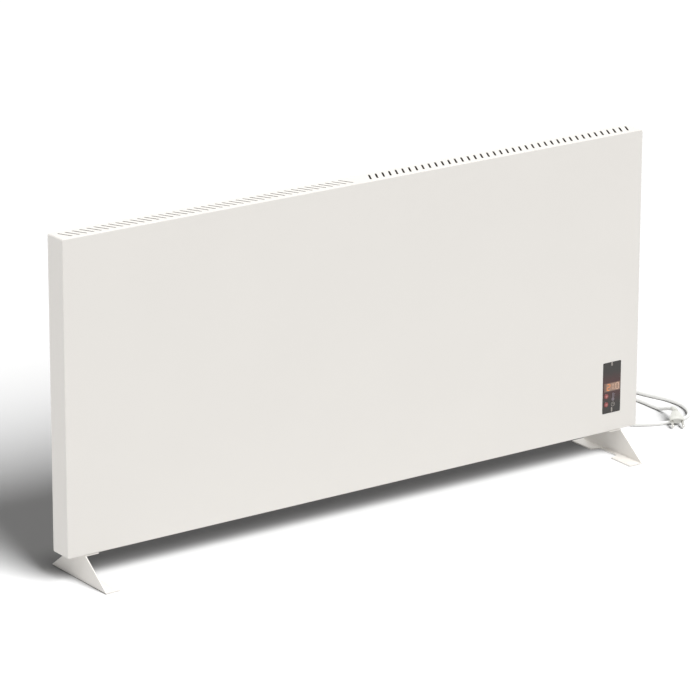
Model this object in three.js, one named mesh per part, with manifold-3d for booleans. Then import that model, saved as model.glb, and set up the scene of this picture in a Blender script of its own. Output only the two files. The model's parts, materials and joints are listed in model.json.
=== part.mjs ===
// Panel convector heater on two folded sheet feet, with a control panel, two sprung keys and a mains lead.
// Millimetres. +X runs along the heater's length to the right, +Y to its rear and +Z up. The origin is on
// the floor, under the middle of the casing.

import * as THREE from 'three';
import { mergeVertices } from 'three/addons/utils/BufferGeometryUtils.js';
import Module from 'manifold-3d';

const wasm = await Module();
wasm.setup();

// ---------------------------------------------------------------- driving dimensions

const GAP = 0.3; // clearance between pieces that bear on each other
const PAST = 2; // how far a cutting solid reaches past what it cuts

// Casing and rear panel
const PANEL_LENGTH = 1200;
const PANEL_HEIGHT = 550;
const PANEL_DEPTH = 45;
const SHEET = 1.2;
const EDGE_ROUND = 1.5;
const LIP_WIDTH = 12;

// Outlet slots in the top, in two halves that slant in mirrored directions
const SLOT_PITCH = 13.9;
const SLOT_LENGTH = 29;
const SLOT_WIDTH = 3.6;
const SLOT_SLANT = 27.5; // degrees from the depth direction
const SLOT_FIRST = 25; // first slot's centre from the middle of the heater
const SLOT_END_MARGIN = 18; // least distance from the last slot's centre to the heater's end

// Inlet slots in the bottom
const INLET_PITCH = 28;
const INLET_LENGTH = 26;
const INLET_WIDTH = 4;
const INLET_END_MARGIN = 170;

// Rear panel details
const RIB_LENGTH = 900;
const RIB_WIDTH = 14;
const RIB_DEPTH = 1.5;
const RIB_FROM_TOP = 110;
const RIB_SPACING = 240;
const KEYHOLE_SPACING = 800;
const KEYHOLE_FROM_TOP = 60;
const KEYHOLE_RADIUS = 5.5;
const KEYHOLE_NECK = 5.4;
const KEYHOLE_RISE = 12;
const REAR_SCREW_INSET = 40; // outer screws' centres from the heater's ends
const REAR_SCREW_COLUMNS = 4;

// Screws
const SCREW_RADIUS = 1.7;
const SCREW_HEAD_RADIUS = 3.4;
const SCREW_HEAD_HEIGHT = 2;
const SCREW_LENGTH = 8;

// Feet
const FOOT_HEIGHT = 50;
const FOOT_SHEET = 2;
const FOOT_LENGTH = 168;
const FOOT_INSET = 34; // plate's outer face from the heater's end
const FOOT_FLANGE = 27;
const FOOT_TOP_FLANGE = 26;
const FOOT_BEND_INSIDE = 0.6;
const NOTCH_LENGTH = 60;
const NOTCH_TAPER = 6;
const NOTCH_REMAINDER = 10; // flange left beside the plate
const FOOT_SCREW_IN = 17;
const FOOT_SCREW_SPACING = 24;

// Control panel
const CONTROL_FROM_END = 58;
const CONTROL_ABOVE_BASE = 82.5;
const PLATE_WIDTH = 40;
const PLATE_HEIGHT = 95;
const PLATE_THICKNESS = 2.4;
const PLATE_PROUD = 0.3;
const PLATE_ROUND = 1.5;
const FRAME_LAP = 1.3; // faceplate's edges over the frame's window
const FRAME_THICKNESS = 1.6;
const HOUSING_WIDTH = 56;
const HOUSING_HEIGHT = 111;
const HOUSING_WALL = 1.6;
const BOARD_THICKNESS = 1.6;
const DISPLAY_SIDE_GAP = 1.2; // display to the frame's window
const DISPLAY_FROM_PLATE = 0.7;
const DISPLAY_HEIGHT = 15.5;
const DISPLAY_DEPTH = 7;
const DISPLAY_RISE = 0.8; // display's centre above the faceplate's centre
const RELAY_WIDTH = 16;
const RELAY_HEIGHT = 19;
const RELAY_DEPTH = 15;
const RELAY_REAR_SPACE = 2.9; // relay to the housing's rear wall
const RELAY_ABOVE_FLOOR = 11; // relay's lower face above the housing's inner bottom
const CAPACITOR_RADIUS = 6.5;
const CAPACITOR_LENGTH = 14;
const CAPACITOR_RISE = 28;
const WIRE_HOLE_WIDTH = 16;
const WIRE_HOLE_DEPTH = 8;

// Keys
const KEY_RADIUS = 4.9;
const KEY_SIDE_GAP = 0.9; // key's collar to the frame's window
const KEY_DROP = 15.2; // upper key's centre below the faceplate's centre
const KEY_PITCH = 15.6;
const KEY_TRAVEL = 0.8;
const KEY_DOME = 0.9;
const KEY_COLLAR_RADIUS = 5.8;
const KEY_COLLAR_HEIGHT = 1;
const KEY_STEM_RADIUS = 1.6;
const KEY_SWITCH_WIDTH = 6;
const KEY_SWITCH_DEPTH = 3.4;

// Room sensor under the control housing
const SENSOR_RADIUS = 2.4;
const SENSOR_LENGTH = 10;
const SENSOR_COLLAR_RADIUS = 4.5;
const SENSOR_COLLAR_HEIGHT = 2;

// Heating element, its rod, bushes and brackets
const ELEMENT_ABOVE_BASE = 120;
const HUB_RADIUS = 8;
const FIN_THICKNESS = 1.8;
const FIN_HEIGHT = 62;
const FIN_TILT = 22; // degrees from vertical
const FIN_RIB_REACH = 9;
const FIN_RIB_SPACING = 11;
const ROD_RADIUS = 4.1;
const ROD_OVERHANG = 27; // rod past each end of the element
const BRACKET_FROM_FOOT_SCREW = 18; // left bracket, towards the middle
const BRACKET_FROM_TERMINAL = 5; // right bracket, left of the terminal block
const BRACKET_FROM_ELEMENT = 10;
const BRACKET_SHEET = 1.5;
const BRACKET_INSET = 6; // bracket's edges from the front and rear faces
const BRACKET_RISE = 36; // bracket above the rod's centre
const BRACKET_FOOT = 18;
const BUSH_RADIUS = 7;
const BUSH_LENGTH = 16;
const BUSH_COLLAR_RADIUS = 10;
const BUSH_COLLAR_HEIGHT = 3;
const WIRE_NOTCH_WIDTH = 9;
const WIRE_NOTCH_HEIGHT = 9;

// Heat shield and thermal cut-out
const SHIELD_SHEET = 0.8;
const SHIELD_BELOW_ROD = 80;
const SHIELD_ABOVE_ROD = 250;
const CUTOUT_RADIUS = 8;
const CUTOUT_HEIGHT = 6;
const CUTOUT_ABOVE_ROD = 70;
const CUTOUT_CAP_RADIUS = 5.5;
const CUTOUT_CAP_HEIGHT = 2.5;

// Front stiffeners, hat channels behind the front sheet
const STIFFENER_OFFSET = 230;
const STIFFENER_CROWN = 24;
const STIFFENER_BRIM = 9;
const STIFFENER_DEPTH = 5;
const STIFFENER_SHEET = 1;
const STIFFENER_END_GAP = 6;

// Terminal block and earth screw
const TERMINAL_LENGTH = 40;
const TERMINAL_DEPTH = 16;
const TERMINAL_HEIGHT = 18;
const TERMINAL_FROM_FRONT = 1.8;
const TERMINAL_WELL_RADIUS = 2.6;
const TERMINAL_WELL_SPACING = 26;
const TERMINAL_WELL_DEPTH = 5;
const EARTH_FROM_TERMINAL = 19;
const EARTH_RADIUS = 3;
const EARTH_HEAD_RADIUS = 4.5;
const EARTH_HEIGHT = 11;

// Mains lead, gland and plug
const LEAD_DIAMETER = 7;
const WIRE_DIAMETER = 2.4;
const GLAND_FROM_END = 130;
const GLAND_ABOVE_BASE = 54;
const GLAND_RADIUS = 6.2;
const GLAND_FLANGE_RADIUS = 9.5;
const GLAND_FLANGE_HEIGHT = 3;
const GLAND_COLLAR_RADIUS = 8;
const GLAND_COLLAR_HEIGHT = 4;
const GLAND_INSIDE = 7;
const BOOT_LENGTH = 32;
const BOOT_ROOT_RADIUS = 7;
const BOOT_TIP_RADIUS = 4.8;
const INNER_STRAIGHT = 4; // straight part of the lead's inner end, at the gland
const PLUG_FACE = new THREE.Vector3(750, 42, 9.8); // centre of the plug's front face
const PLUG_AIM = new THREE.Vector3(-0.5, -0.812, -0.28); // the way its pins point
const PLUG_WIDTH = 27;
const PLUG_THICKNESS = 13.5;
const PLUG_LENGTH = 30;
const PLUG_SHOULDER = 9; // widest part's end, behind the front face
const PLUG_WAIST = 19; // halfway between the widest part and the tail, behind the front face
const PLUG_TAIL_WIDTH = 15;
const PLUG_BOOT_LENGTH = 20;
const PLUG_BOOT_ROOT_RADIUS = 5.6;
const PLUG_BOOT_BEND = 38; // how far the boot bends to the floor with the lead, in degrees
const PLUG_BOOT_LEAN = 22; // how far that bend leans to the side, in degrees
const PLUG_BOOT_STEPS = 4;
const LEAD_STRAIGHT = 6; // straight end of the lead behind the plug's boot
const PIN_RADIUS = 2.4;
const PIN_LENGTH = 19;
const PIN_SPACING = 19;

// Facets
const ROUND_STEPS = 3; // steps on a rounded corner or half a round slot end
const SMALL_SIDES = 12;
const SMOOTH_SIDES = 20;
const LEAD_SIDES = 8;
const LEAD_STEPS = 78;
const WIRE_SIDES = 6;
const WIRE_STEP = 14;

// ---------------------------------------------------------------- places worked out from them

const END = PANEL_LENGTH / 2;
const FRONT = -PANEL_DEPTH / 2;
const REAR = PANEL_DEPTH / 2;
const BASE = FOOT_HEIGHT;
const TOP = BASE + PANEL_HEIGHT;
const INNER_FRONT = FRONT + SHEET;
const INNER_BASE = BASE + SHEET;
const INNER_TOP = TOP - SHEET;
const INNER_END = END - SHEET;
const PANEL_INSIDE = REAR - SHEET; // rear panel's inner face
const LIP_REAR = PANEL_INSIDE - GAP;
const STANDING = INNER_BASE + GAP; // where pieces stand on the casing's bottom

const CONTROL_X = END - CONTROL_FROM_END;
const CONTROL_Z = BASE + CONTROL_ABOVE_BASE;
const PLATE_FRONT = FRONT - PLATE_PROUD;
const PLATE_REAR = PLATE_FRONT + PLATE_THICKNESS;
const FRAME_FRONT = PLATE_REAR + GAP;
const FRAME_WINDOW_WIDTH = PLATE_WIDTH - 2 * FRAME_LAP;
const DISPLAY_WIDTH = FRAME_WINDOW_WIDTH - 2 * DISPLAY_SIDE_GAP;
const BOARD_FRONT = PLATE_REAR + DISPLAY_FROM_PLATE + DISPLAY_DEPTH + GAP;
const BOARD_REAR = BOARD_FRONT + BOARD_THICKNESS;
const HOUSING_FRONT = INNER_FRONT + GAP;
const HOUSING_REAR = BOARD_REAR + GAP + RELAY_DEPTH + RELAY_REAR_SPACE + HOUSING_WALL;
const HOUSING_BOTTOM = CONTROL_Z - HOUSING_HEIGHT / 2;
const KEY_LEFT = FRAME_WINDOW_WIDTH / 2 - KEY_COLLAR_RADIUS - KEY_SIDE_GAP;
const KEY_X = CONTROL_X - KEY_LEFT;
const KEY_UPPER_Z = CONTROL_Z - KEY_DROP;
const KEY_LOWER_Z = KEY_UPPER_Z - KEY_PITCH;
const RELAY_BOTTOM = HOUSING_BOTTOM + HOUSING_WALL + RELAY_ABOVE_FLOOR;

const ROD_Z = BASE + ELEMENT_ABOVE_BASE;
const BRACKET_HALF_WIDTH = PANEL_DEPTH / 2 - BRACKET_INSET;
const FOOT_SCREW_X = END - FOOT_INSET - FOOT_SCREW_IN;
const GLAND_X = END - GLAND_FROM_END;
const BRACKET_START = BRACKET_FROM_FOOT_SCREW - FOOT_SCREW_X;
const BRACKET_END = GLAND_X - TERMINAL_LENGTH / 2 - BRACKET_FROM_TERMINAL;
const ELEMENT_START = BRACKET_START + BRACKET_FROM_ELEMENT;
const ELEMENT_END = BRACKET_END - BRACKET_FROM_ELEMENT;
const ROD_START = ELEMENT_START - ROD_OVERHANG;
const ROD_END = ELEMENT_END + ROD_OVERHANG;
const SHIELD_FRONT = BRACKET_HALF_WIDTH + GAP;

const GLAND_Z = BASE + GLAND_ABOVE_BASE;
const GLAND_INNER = PANEL_INSIDE - GLAND_INSIDE;
const GLAND_TIP = REAR + GAP + GLAND_FLANGE_HEIGHT + BOOT_LENGTH;
const TERMINAL_Y = INNER_FRONT + TERMINAL_FROM_FRONT + TERMINAL_DEPTH / 2;
const INNER_BEND = GLAND_INNER - GAP - INNER_STRAIGHT - TERMINAL_Y; // radius to the lead's middle
const TERMINAL_TOP = STANDING + TERMINAL_HEIGHT;

// ---------------------------------------------------------------- colours

const ENAMEL = { color: 0xe9e6e1, roughness: 0.55, metalness: 0 };
const STEEL = { color: 0xb9bcbf, roughness: 0.35, metalness: 1 };
const ALUMINIUM = { color: 0xc9cbcd, roughness: 0.4, metalness: 1 };
const CERAMIC = { color: 0xe8e2d4, roughness: 0.6, metalness: 0 };
const DARK_GLOSS = { color: 0x4c4644, roughness: 0.15, metalness: 0 };
const RED_PLASTIC = { color: 0xb03a3a, roughness: 0.3, metalness: 0 };
const AMBER_DISPLAY = { color: 0xc08a66, roughness: 0.3, metalness: 0 };
const BLACK_PLASTIC = { color: 0x232323, roughness: 0.6, metalness: 0 };
const GREEN_BOARD = { color: 0x2f6a45, roughness: 0.5, metalness: 0 };
const WHITE_CORD = { color: 0xeeeeea, roughness: 0.5, metalness: 0 };
const NICKEL = { color: 0xd8d8d4, roughness: 0.25, metalness: 1 };
const BROWN_WIRE = { color: 0x6b4228, roughness: 0.5, metalness: 0 };
const BLUE_WIRE = { color: 0x2b5fa8, roughness: 0.5, metalness: 0 };
const EARTH_WIRE = { color: 0x7fa63a, roughness: 0.5, metalness: 0 };

// ---------------------------------------------------------------- solids

const heater = new THREE.Group();

/** A closed geometry as a solid that can be cut and joined. */
function solid(geometry) {
  const bare = geometry.clone();
  bare.deleteAttribute('normal');
  bare.deleteAttribute('uv');
  const merged = mergeVertices(bare, 1e-4);
  return new wasm.Manifold(new wasm.Mesh({
    numProp: 3,
    vertProperties: new Float32Array(merged.attributes.position.array),
    triVerts: new Uint32Array(merged.index.array),
  }));
}

/** A solid's surface as a geometry with flat faces. */
function surface(body) {
  const mesh = body.getMesh();
  const geometry = new THREE.BufferGeometry();
  geometry.setAttribute('position', new THREE.BufferAttribute(mesh.vertProperties, mesh.numProp));
  geometry.setIndex(new THREE.BufferAttribute(mesh.triVerts, 1));
  const flat = geometry.toNonIndexed();
  flat.computeVertexNormals();
  return flat;
}

/** Adds a named piece to the heater. */
function piece(name, body, look, parent = heater) {
  const geometry = body.isBufferGeometry ? body : surface(body);
  const mesh = new THREE.Mesh(geometry, new THREE.MeshStandardMaterial(look));
  mesh.name = name;
  parent.add(mesh);
  return mesh;
}

/** A block between two values on each axis. */
function block([x0, x1], [y0, y1], [z0, z1]) {
  const geometry = new THREE.BoxGeometry(x1 - x0, y1 - y0, z1 - z0);
  return solid(geometry.translate((x0 + x1) / 2, (y0 + y1) / 2, (z0 + z1) / 2));
}

/** A range of a given size about a middle. */
function about(middle, size) {
  return [middle - size / 2, middle + size / 2];
}

/** Points on an arc, both ends included; angles in degrees. */
function arc(x, y, radius, from, to, steps = ROUND_STEPS) {
  return Array.from({ length: steps + 1 }, (_, i) => {
    const angle = THREE.MathUtils.degToRad(from + ((to - from) * i) / steps);
    return new THREE.Vector2(x + radius * Math.cos(angle), y + radius * Math.sin(angle));
  });
}

/** A rectangle with rounded corners, centred on the origin. */
function roundedRectangle(width, height, radius) {
  const x = width / 2 - radius;
  const y = height / 2 - radius;
  return new THREE.Shape([
    ...arc(x, y, radius, 0, 90), ...arc(-x, y, radius, 90, 180),
    ...arc(-x, -y, radius, 180, 270), ...arc(x, -y, radius, 270, 360),
  ]);
}

/** A slot with round ends along the second axis, turned by some degrees and moved. */
function roundSlot(length, width, x, y, turn = 0) {
  const radius = width / 2;
  const reach = length / 2 - radius;
  const middle = new THREE.Vector2();
  const outline = [...arc(0, reach, radius, 0, 180), ...arc(0, -reach, radius, 180, 360)];
  const angle = THREE.MathUtils.degToRad(turn);
  return new THREE.Shape(outline.map((p) => p.rotateAround(middle, angle).add({ x, y })));
}

/** A circle as a shape with flat sides. */
function disc(x, y, radius, sides = SMALL_SIDES) {
  return new THREE.Shape(arc(x, y, radius, 0, 360 - 360 / sides, sides - 1));
}

/** A shape in X and Y raised along Z. */
function prismZ(shape, [z0, z1]) {
  const geometry = new THREE.ExtrudeGeometry(shape, { depth: z1 - z0, bevelEnabled: false });
  return solid(geometry.translate(0, 0, z0));
}

/** A shape in X and Z run along Y. */
function prismY(shape, [y0, y1]) {
  const geometry = new THREE.ExtrudeGeometry(shape, { depth: y1 - y0, bevelEnabled: false });
  return solid(geometry.rotateX(Math.PI / 2).translate(0, y1, 0));
}

/** A shape in Y and Z run along X. */
function prismX(shape, [x0, x1]) {
  const geometry = new THREE.ExtrudeGeometry(shape, { depth: x1 - x0, bevelEnabled: false });
  const turn = new THREE.Matrix4().set(0, 0, 1, 0, 1, 0, 0, 0, 0, 1, 0, 0, 0, 0, 0, 1);
  return solid(geometry.applyMatrix4(turn).translate(x0, 0, 0));
}

/** A turned geometry about Y from [radius, height] pairs, which rise and start and end on the axis. */
function turned(profile, sides = SMALL_SIDES) {
  return new THREE.LatheGeometry(profile.map(([r, h]) => new THREE.Vector2(r, h)), sides);
}

/** A tube of a number of sides along points. */
function tube(points, diameter, sides, steps) {
  const path = new THREE.CatmullRomCurve3(points.map((p) => new THREE.Vector3(...p)));
  const shape = disc(0, 0, diameter / 2, sides);
  return solid(new THREE.ExtrudeGeometry(shape, { steps, extrudePath: path, bevelEnabled: false }));
}

/** Cuts a list of solids out of a body. */
function cut(body, tools) {
  return tools.reduce((rest, tool) => rest.subtract(tool), body);
}

// ---------------------------------------------------------------- casing and rear panel

/** Centres of the outlet slots along half of the top. */
function slotCentres() {
  const count = Math.floor((END - SLOT_END_MARGIN - SLOT_FIRST) / SLOT_PITCH) + 1;
  return Array.from({ length: count }, (_, i) => SLOT_FIRST + i * SLOT_PITCH);
}

/** The outlet slots' cutting solids: they run to the back right on the right, and mirrored on the left. */
function outletSlots() {
  const through = [INNER_TOP - PAST, TOP + PAST];
  return slotCentres().flatMap((x) => [
    prismZ(roundSlot(SLOT_LENGTH, SLOT_WIDTH, x, 0, -SLOT_SLANT), through),
    prismZ(roundSlot(SLOT_LENGTH, SLOT_WIDTH, -x, 0, SLOT_SLANT), through),
  ]);
}

/** The inlet slots' cutting solids. */
function inletSlots() {
  const run = PANEL_LENGTH - 2 * INLET_END_MARGIN;
  const count = Math.floor(run / INLET_PITCH) + 1;
  const first = -((count - 1) * INLET_PITCH) / 2;
  const through = [BASE - PAST, INNER_BASE + PAST];
  return Array.from({ length: count }, (_, i) =>
    prismZ(roundSlot(INLET_LENGTH, INLET_WIDTH, first + i * INLET_PITCH, 0), through));
}

/** Places of the rear screws, in the middle of the upper and lower lips. */
function rearScrewPlaces() {
  const outer = END - REAR_SCREW_INSET;
  const rows = [INNER_BASE + LIP_WIDTH / 2, INNER_TOP - LIP_WIDTH / 2];
  return rows.flatMap((z) => Array.from({ length: REAR_SCREW_COLUMNS }, (_, i) =>
    [-outer + (2 * outer * i) / (REAR_SCREW_COLUMNS - 1), z]));
}

/** Holes for the rear screws through a range of depth. */
function rearScrewHoles(range) {
  return rearScrewPlaces().map(([x, z]) => prismY(disc(x, z, SCREW_RADIUS + GAP), range));
}

/** Places of the foot screws. */
function footScrewPlaces() {
  return [-FOOT_SCREW_X, FOOT_SCREW_X].flatMap((side) => about(0, FOOT_SCREW_SPACING).map((y) => [side, y]));
}

/** The casing's outer block, with a round along its front edges. */
function casingBlock() {
  const inset = 2 * EDGE_ROUND;
  const outline = roundedRectangle(PANEL_LENGTH - inset, PANEL_HEIGHT - inset, EDGE_ROUND);
  const geometry = new THREE.ExtrudeGeometry(outline, {
    depth: PANEL_DEPTH, bevelThickness: EDGE_ROUND, bevelSize: EDGE_ROUND, bevelSegments: ROUND_STEPS,
  });
  geometry.rotateX(Math.PI / 2).translate(0, REAR + EDGE_ROUND, (BASE + TOP) / 2);
  const kept = block([-END, END], [FRONT, REAR], [BASE, TOP]);
  return solid(geometry).intersect(kept);
}

function addCasing() {
  const hollow = block([-INNER_END, INNER_END], [INNER_FRONT, LIP_REAR - SHEET], [INNER_BASE, INNER_TOP]);
  const recess = block([-INNER_END, INNER_END], [LIP_REAR, REAR + PAST], [INNER_BASE, INNER_TOP]);
  const mouth = block(
    [LIP_WIDTH - INNER_END, INNER_END - LIP_WIDTH],
    [INNER_FRONT, REAR],
    [INNER_BASE + LIP_WIDTH, INNER_TOP - LIP_WIDTH],
  );
  const window = roundedRectangle(PLATE_WIDTH + 2 * GAP, PLATE_HEIGHT + 2 * GAP, PLATE_ROUND + GAP);
  const windowCut = prismY(window, [FRONT - PAST, INNER_FRONT + PAST]).translate([CONTROL_X, 0, CONTROL_Z]);
  const footHoles = footScrewPlaces().map(([x, y]) =>
    prismZ(disc(x, y, SCREW_RADIUS + GAP), [BASE - PAST, INNER_BASE + PAST]));
  const tools = [hollow, recess, mouth, windowCut, ...outletSlots(), ...inletSlots(), ...footHoles,
    ...rearScrewHoles([LIP_REAR - SHEET - PAST, LIP_REAR + PAST])];
  piece('front_casing', cut(casingBlock(), tools), ENAMEL);
}

/** Presses a rib into the rear panel: a shallow channel outside and the matching ridge inside. */
function pressRib(panel, z) {
  const outer = roundSlot(RIB_LENGTH, RIB_WIDTH, 0, 0, 90);
  const inner = roundSlot(RIB_LENGTH - 2 * SHEET, RIB_WIDTH - 2 * SHEET, 0, 0, 90);
  const ridge = prismY(outer, [PANEL_INSIDE - RIB_DEPTH, REAR]).translate([0, 0, z]);
  const channel = prismY(inner, [REAR - RIB_DEPTH, REAR + PAST]).translate([0, 0, z]);
  return panel.add(ridge).subtract(channel);
}

/** A keyhole's cutting solid: a round opening with a neck that rises from it. */
function keyhole(x, z) {
  const through = [PANEL_INSIDE - PAST, REAR + PAST];
  const neck = roundSlot(KEYHOLE_RISE + KEYHOLE_NECK, KEYHOLE_NECK, x, z + KEYHOLE_RISE / 2);
  return prismY(disc(x, z, KEYHOLE_RADIUS), through).add(prismY(neck, through));
}

function addRearPanel() {
  const edge = INNER_END - GAP;
  let panel = block([-edge, edge], [PANEL_INSIDE, REAR], [INNER_BASE + GAP, INNER_TOP - GAP]);
  panel = pressRib(panel, TOP - RIB_FROM_TOP);
  panel = pressRib(panel, TOP - RIB_FROM_TOP - RIB_SPACING);
  const keyholes = about(0, KEYHOLE_SPACING).map((x) => keyhole(x, TOP - KEYHOLE_FROM_TOP));
  const through = [PANEL_INSIDE - PAST, REAR + PAST];
  const glandHole = prismY(disc(GLAND_X, GLAND_Z, GLAND_RADIUS + GAP, SMOOTH_SIDES), through);
  piece('rear_panel', cut(panel, [...keyholes, glandHole, ...rearScrewHoles(through)]), ENAMEL);
}

/** A pan-head screw along Y, its head outermost at the greatest height. */
function screw(length) {
  const under = length;
  const top = under + SCREW_HEAD_HEIGHT;
  return turned([
    [0, 0], [SCREW_RADIUS, SCREW_RADIUS], [SCREW_RADIUS, under], [SCREW_HEAD_RADIUS, under],
    [SCREW_HEAD_RADIUS, (under + top) / 2], [SCREW_RADIUS, top], [0, top],
  ]);
}

function addRearScrews() {
  rearScrewPlaces().forEach(([x, z], i) => {
    const mesh = piece(`rear_screw_${i + 1}`, screw(SCREW_LENGTH), STEEL);
    mesh.position.set(x, REAR + GAP - SCREW_LENGTH, z);
  });
}

// ---------------------------------------------------------------- feet

/** A foot's folded section, with its plate's outer face at zero and its flanges on the positive side. */
function footSection(height) {
  const t = FOOT_SHEET;
  const inside = FOOT_BEND_INSIDE;
  const outside = inside + t;
  return new THREE.Shape([
    new THREE.Vector2(FOOT_FLANGE, 0), new THREE.Vector2(FOOT_FLANGE, t),
    ...arc(outside, outside, inside, 270, 180), ...arc(outside, height - outside, inside, 180, 90),
    new THREE.Vector2(FOOT_TOP_FLANGE, height - t), new THREE.Vector2(FOOT_TOP_FLANGE, height),
    ...arc(outside, height - outside, outside, 90, 180), ...arc(outside, outside, outside, 180, 270),
  ]);
}

/** The foot's side view: as wide as the panel above and as its floor flange below. */
function footSideView(height) {
  const low = FOOT_LENGTH / 2;
  const high = PANEL_DEPTH / 2;
  const corners = [[low, 0], [low, FOOT_SHEET], [high, height - FOOT_SHEET], [high, height]];
  const right = corners.map(([y, z]) => new THREE.Vector2(y, z));
  const left = corners.map(([y, z]) => new THREE.Vector2(-y, z)).reverse();
  return new THREE.Shape([...right, ...left]);
}

/** A foot with its plate's outer face at x = 0 and its flanges towards positive x. */
function footSolid() {
  const height = FOOT_HEIGHT - GAP;
  const half = FOOT_LENGTH / 2;
  const folded = prismY(footSection(height), [-half, half]);
  const trimmed = folded.intersect(prismX(footSideView(height), [-PAST, FOOT_FLANGE + PAST]));
  const open = NOTCH_LENGTH / 2;
  const shut = open - NOTCH_TAPER;
  const notch = new THREE.Shape([
    new THREE.Vector2(FOOT_FLANGE + PAST, -open), new THREE.Vector2(FOOT_FLANGE + PAST, open),
    new THREE.Vector2(FOOT_FLANGE, open), new THREE.Vector2(NOTCH_REMAINDER, shut),
    new THREE.Vector2(NOTCH_REMAINDER, -shut), new THREE.Vector2(FOOT_FLANGE, -open),
  ]);
  const holes = about(0, FOOT_SCREW_SPACING).map((y) =>
    prismZ(disc(FOOT_SCREW_IN, y, SCREW_RADIUS + GAP), [height - FOOT_SHEET - PAST, height + PAST]));
  return cut(trimmed, [prismZ(notch, [-PAST, FOOT_SHEET + PAST]), ...holes]);
}

function addFeet() {
  const foot = footSolid();
  const place = END - FOOT_INSET;
  piece('foot_left', foot.translate([-place, 0, 0]), ENAMEL);
  piece('foot_right', foot.mirror([1, 0, 0]).translate([place, 0, 0]), ENAMEL);
  const names = ['left_front', 'left_rear', 'right_front', 'right_rear'];
  footScrewPlaces().forEach(([x, y], i) => {
    const mesh = piece(`foot_screw_${names[i]}`, screw(SCREW_LENGTH), STEEL);
    mesh.rotation.x = -Math.PI / 2;
    mesh.position.set(x, y, BASE - 2 * GAP - FOOT_SHEET + SCREW_LENGTH);
  });
}

// ---------------------------------------------------------------- control panel

function addFaceplate() {
  const outline = roundedRectangle(PLATE_WIDTH, PLATE_HEIGHT, PLATE_ROUND);
  const plate = prismY(outline, [PLATE_FRONT, PLATE_REAR]).translate([CONTROL_X, 0, CONTROL_Z]);
  const holes = [KEY_UPPER_Z, KEY_LOWER_Z].map((z) =>
    prismY(disc(KEY_X, z, KEY_RADIUS + GAP, SMOOTH_SIDES), [PLATE_FRONT - PAST, PLATE_REAR + PAST]));
  piece('control_faceplate', cut(plate, holes), DARK_GLOSS);
}

/** A block that fills the housing's inside, seen from the front, less the clearance. */
function housingInsert(range) {
  const width = HOUSING_WIDTH - 2 * HOUSING_WALL - 2 * GAP;
  const height = HOUSING_HEIGHT - 2 * HOUSING_WALL - 2 * GAP;
  return block(about(CONTROL_X, width), range, about(CONTROL_Z, height));
}

function addHousing() {
  const depth = [HOUSING_FRONT, HOUSING_REAR];
  const hollowWidth = HOUSING_WIDTH - 2 * HOUSING_WALL;
  const hollowHeight = HOUSING_HEIGHT - 2 * HOUSING_WALL;
  const outer = block(about(CONTROL_X, HOUSING_WIDTH), depth, about(CONTROL_Z, HOUSING_HEIGHT));
  const hollow = block(
    about(CONTROL_X, hollowWidth),
    [HOUSING_FRONT - PAST, HOUSING_REAR - HOUSING_WALL],
    about(CONTROL_Z, hollowHeight),
  );
  const wireHole = block(
    about(CONTROL_X - KEY_LEFT / 2, WIRE_HOLE_WIDTH),
    about(BOARD_REAR + RELAY_DEPTH / 2, WIRE_HOLE_DEPTH),
    [HOUSING_BOTTOM - PAST, HOUSING_BOTTOM + HOUSING_WALL + PAST],
  );
  piece('control_housing', cut(outer, [hollow, wireHole]), BLACK_PLASTIC);

  const frame = housingInsert([FRAME_FRONT, FRAME_FRONT + FRAME_THICKNESS]);
  const frameWindow = block(
    about(CONTROL_X, FRAME_WINDOW_WIDTH),
    [FRAME_FRONT - PAST, FRAME_FRONT + FRAME_THICKNESS + PAST],
    about(CONTROL_Z, PLATE_HEIGHT - 2 * FRAME_LAP),
  );
  piece('control_frame', frame.subtract(frameWindow), BLACK_PLASTIC);
}

function addBoard() {
  piece('circuit_board', housingInsert([BOARD_FRONT, BOARD_REAR]), GREEN_BOARD);
  const displayRear = BOARD_FRONT - GAP;
  piece('display_module', block(
    about(CONTROL_X, DISPLAY_WIDTH),
    [displayRear - DISPLAY_DEPTH, displayRear],
    about(CONTROL_Z + DISPLAY_RISE, DISPLAY_HEIGHT),
  ), AMBER_DISPLAY);
  const onBoard = BOARD_REAR + GAP;
  piece('power_relay', block(
    about(CONTROL_X - KEY_LEFT / 2, RELAY_WIDTH),
    [onBoard, onBoard + RELAY_DEPTH],
    [RELAY_BOTTOM, RELAY_BOTTOM + RELAY_HEIGHT],
  ), BLACK_PLASTIC);
  const capacitor = piece('supply_capacitor', turned([
    [0, 0], [CAPACITOR_RADIUS, 0], [CAPACITOR_RADIUS, CAPACITOR_LENGTH], [0, CAPACITOR_LENGTH],
  ]), BLACK_PLASTIC);
  capacitor.position.set(CONTROL_X, onBoard, CONTROL_Z + CAPACITOR_RISE);
}

/** A key along Y from its domed front: cap, collar behind the faceplate, and stem towards its switch. */
function keyGeometry() {
  const collar = PLATE_REAR + GAP - (PLATE_FRONT - KEY_TRAVEL);
  const stemEnd = BOARD_FRONT - 2 * GAP - KEY_SWITCH_DEPTH - KEY_TRAVEL - (PLATE_FRONT - KEY_TRAVEL);
  const dome = arc(0, KEY_DOME, KEY_DOME, 270, 360).map((p) =>
    [p.x + (KEY_RADIUS - KEY_DOME) * (p.x / KEY_DOME), p.y]);
  return turned([
    ...dome, [KEY_RADIUS, collar], [KEY_COLLAR_RADIUS, collar],
    [KEY_COLLAR_RADIUS, collar + KEY_COLLAR_HEIGHT], [KEY_STEM_RADIUS, collar + KEY_COLLAR_HEIGHT],
    [KEY_STEM_RADIUS, stemEnd], [0, stemEnd],
  ], SMOOTH_SIDES);
}

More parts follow.
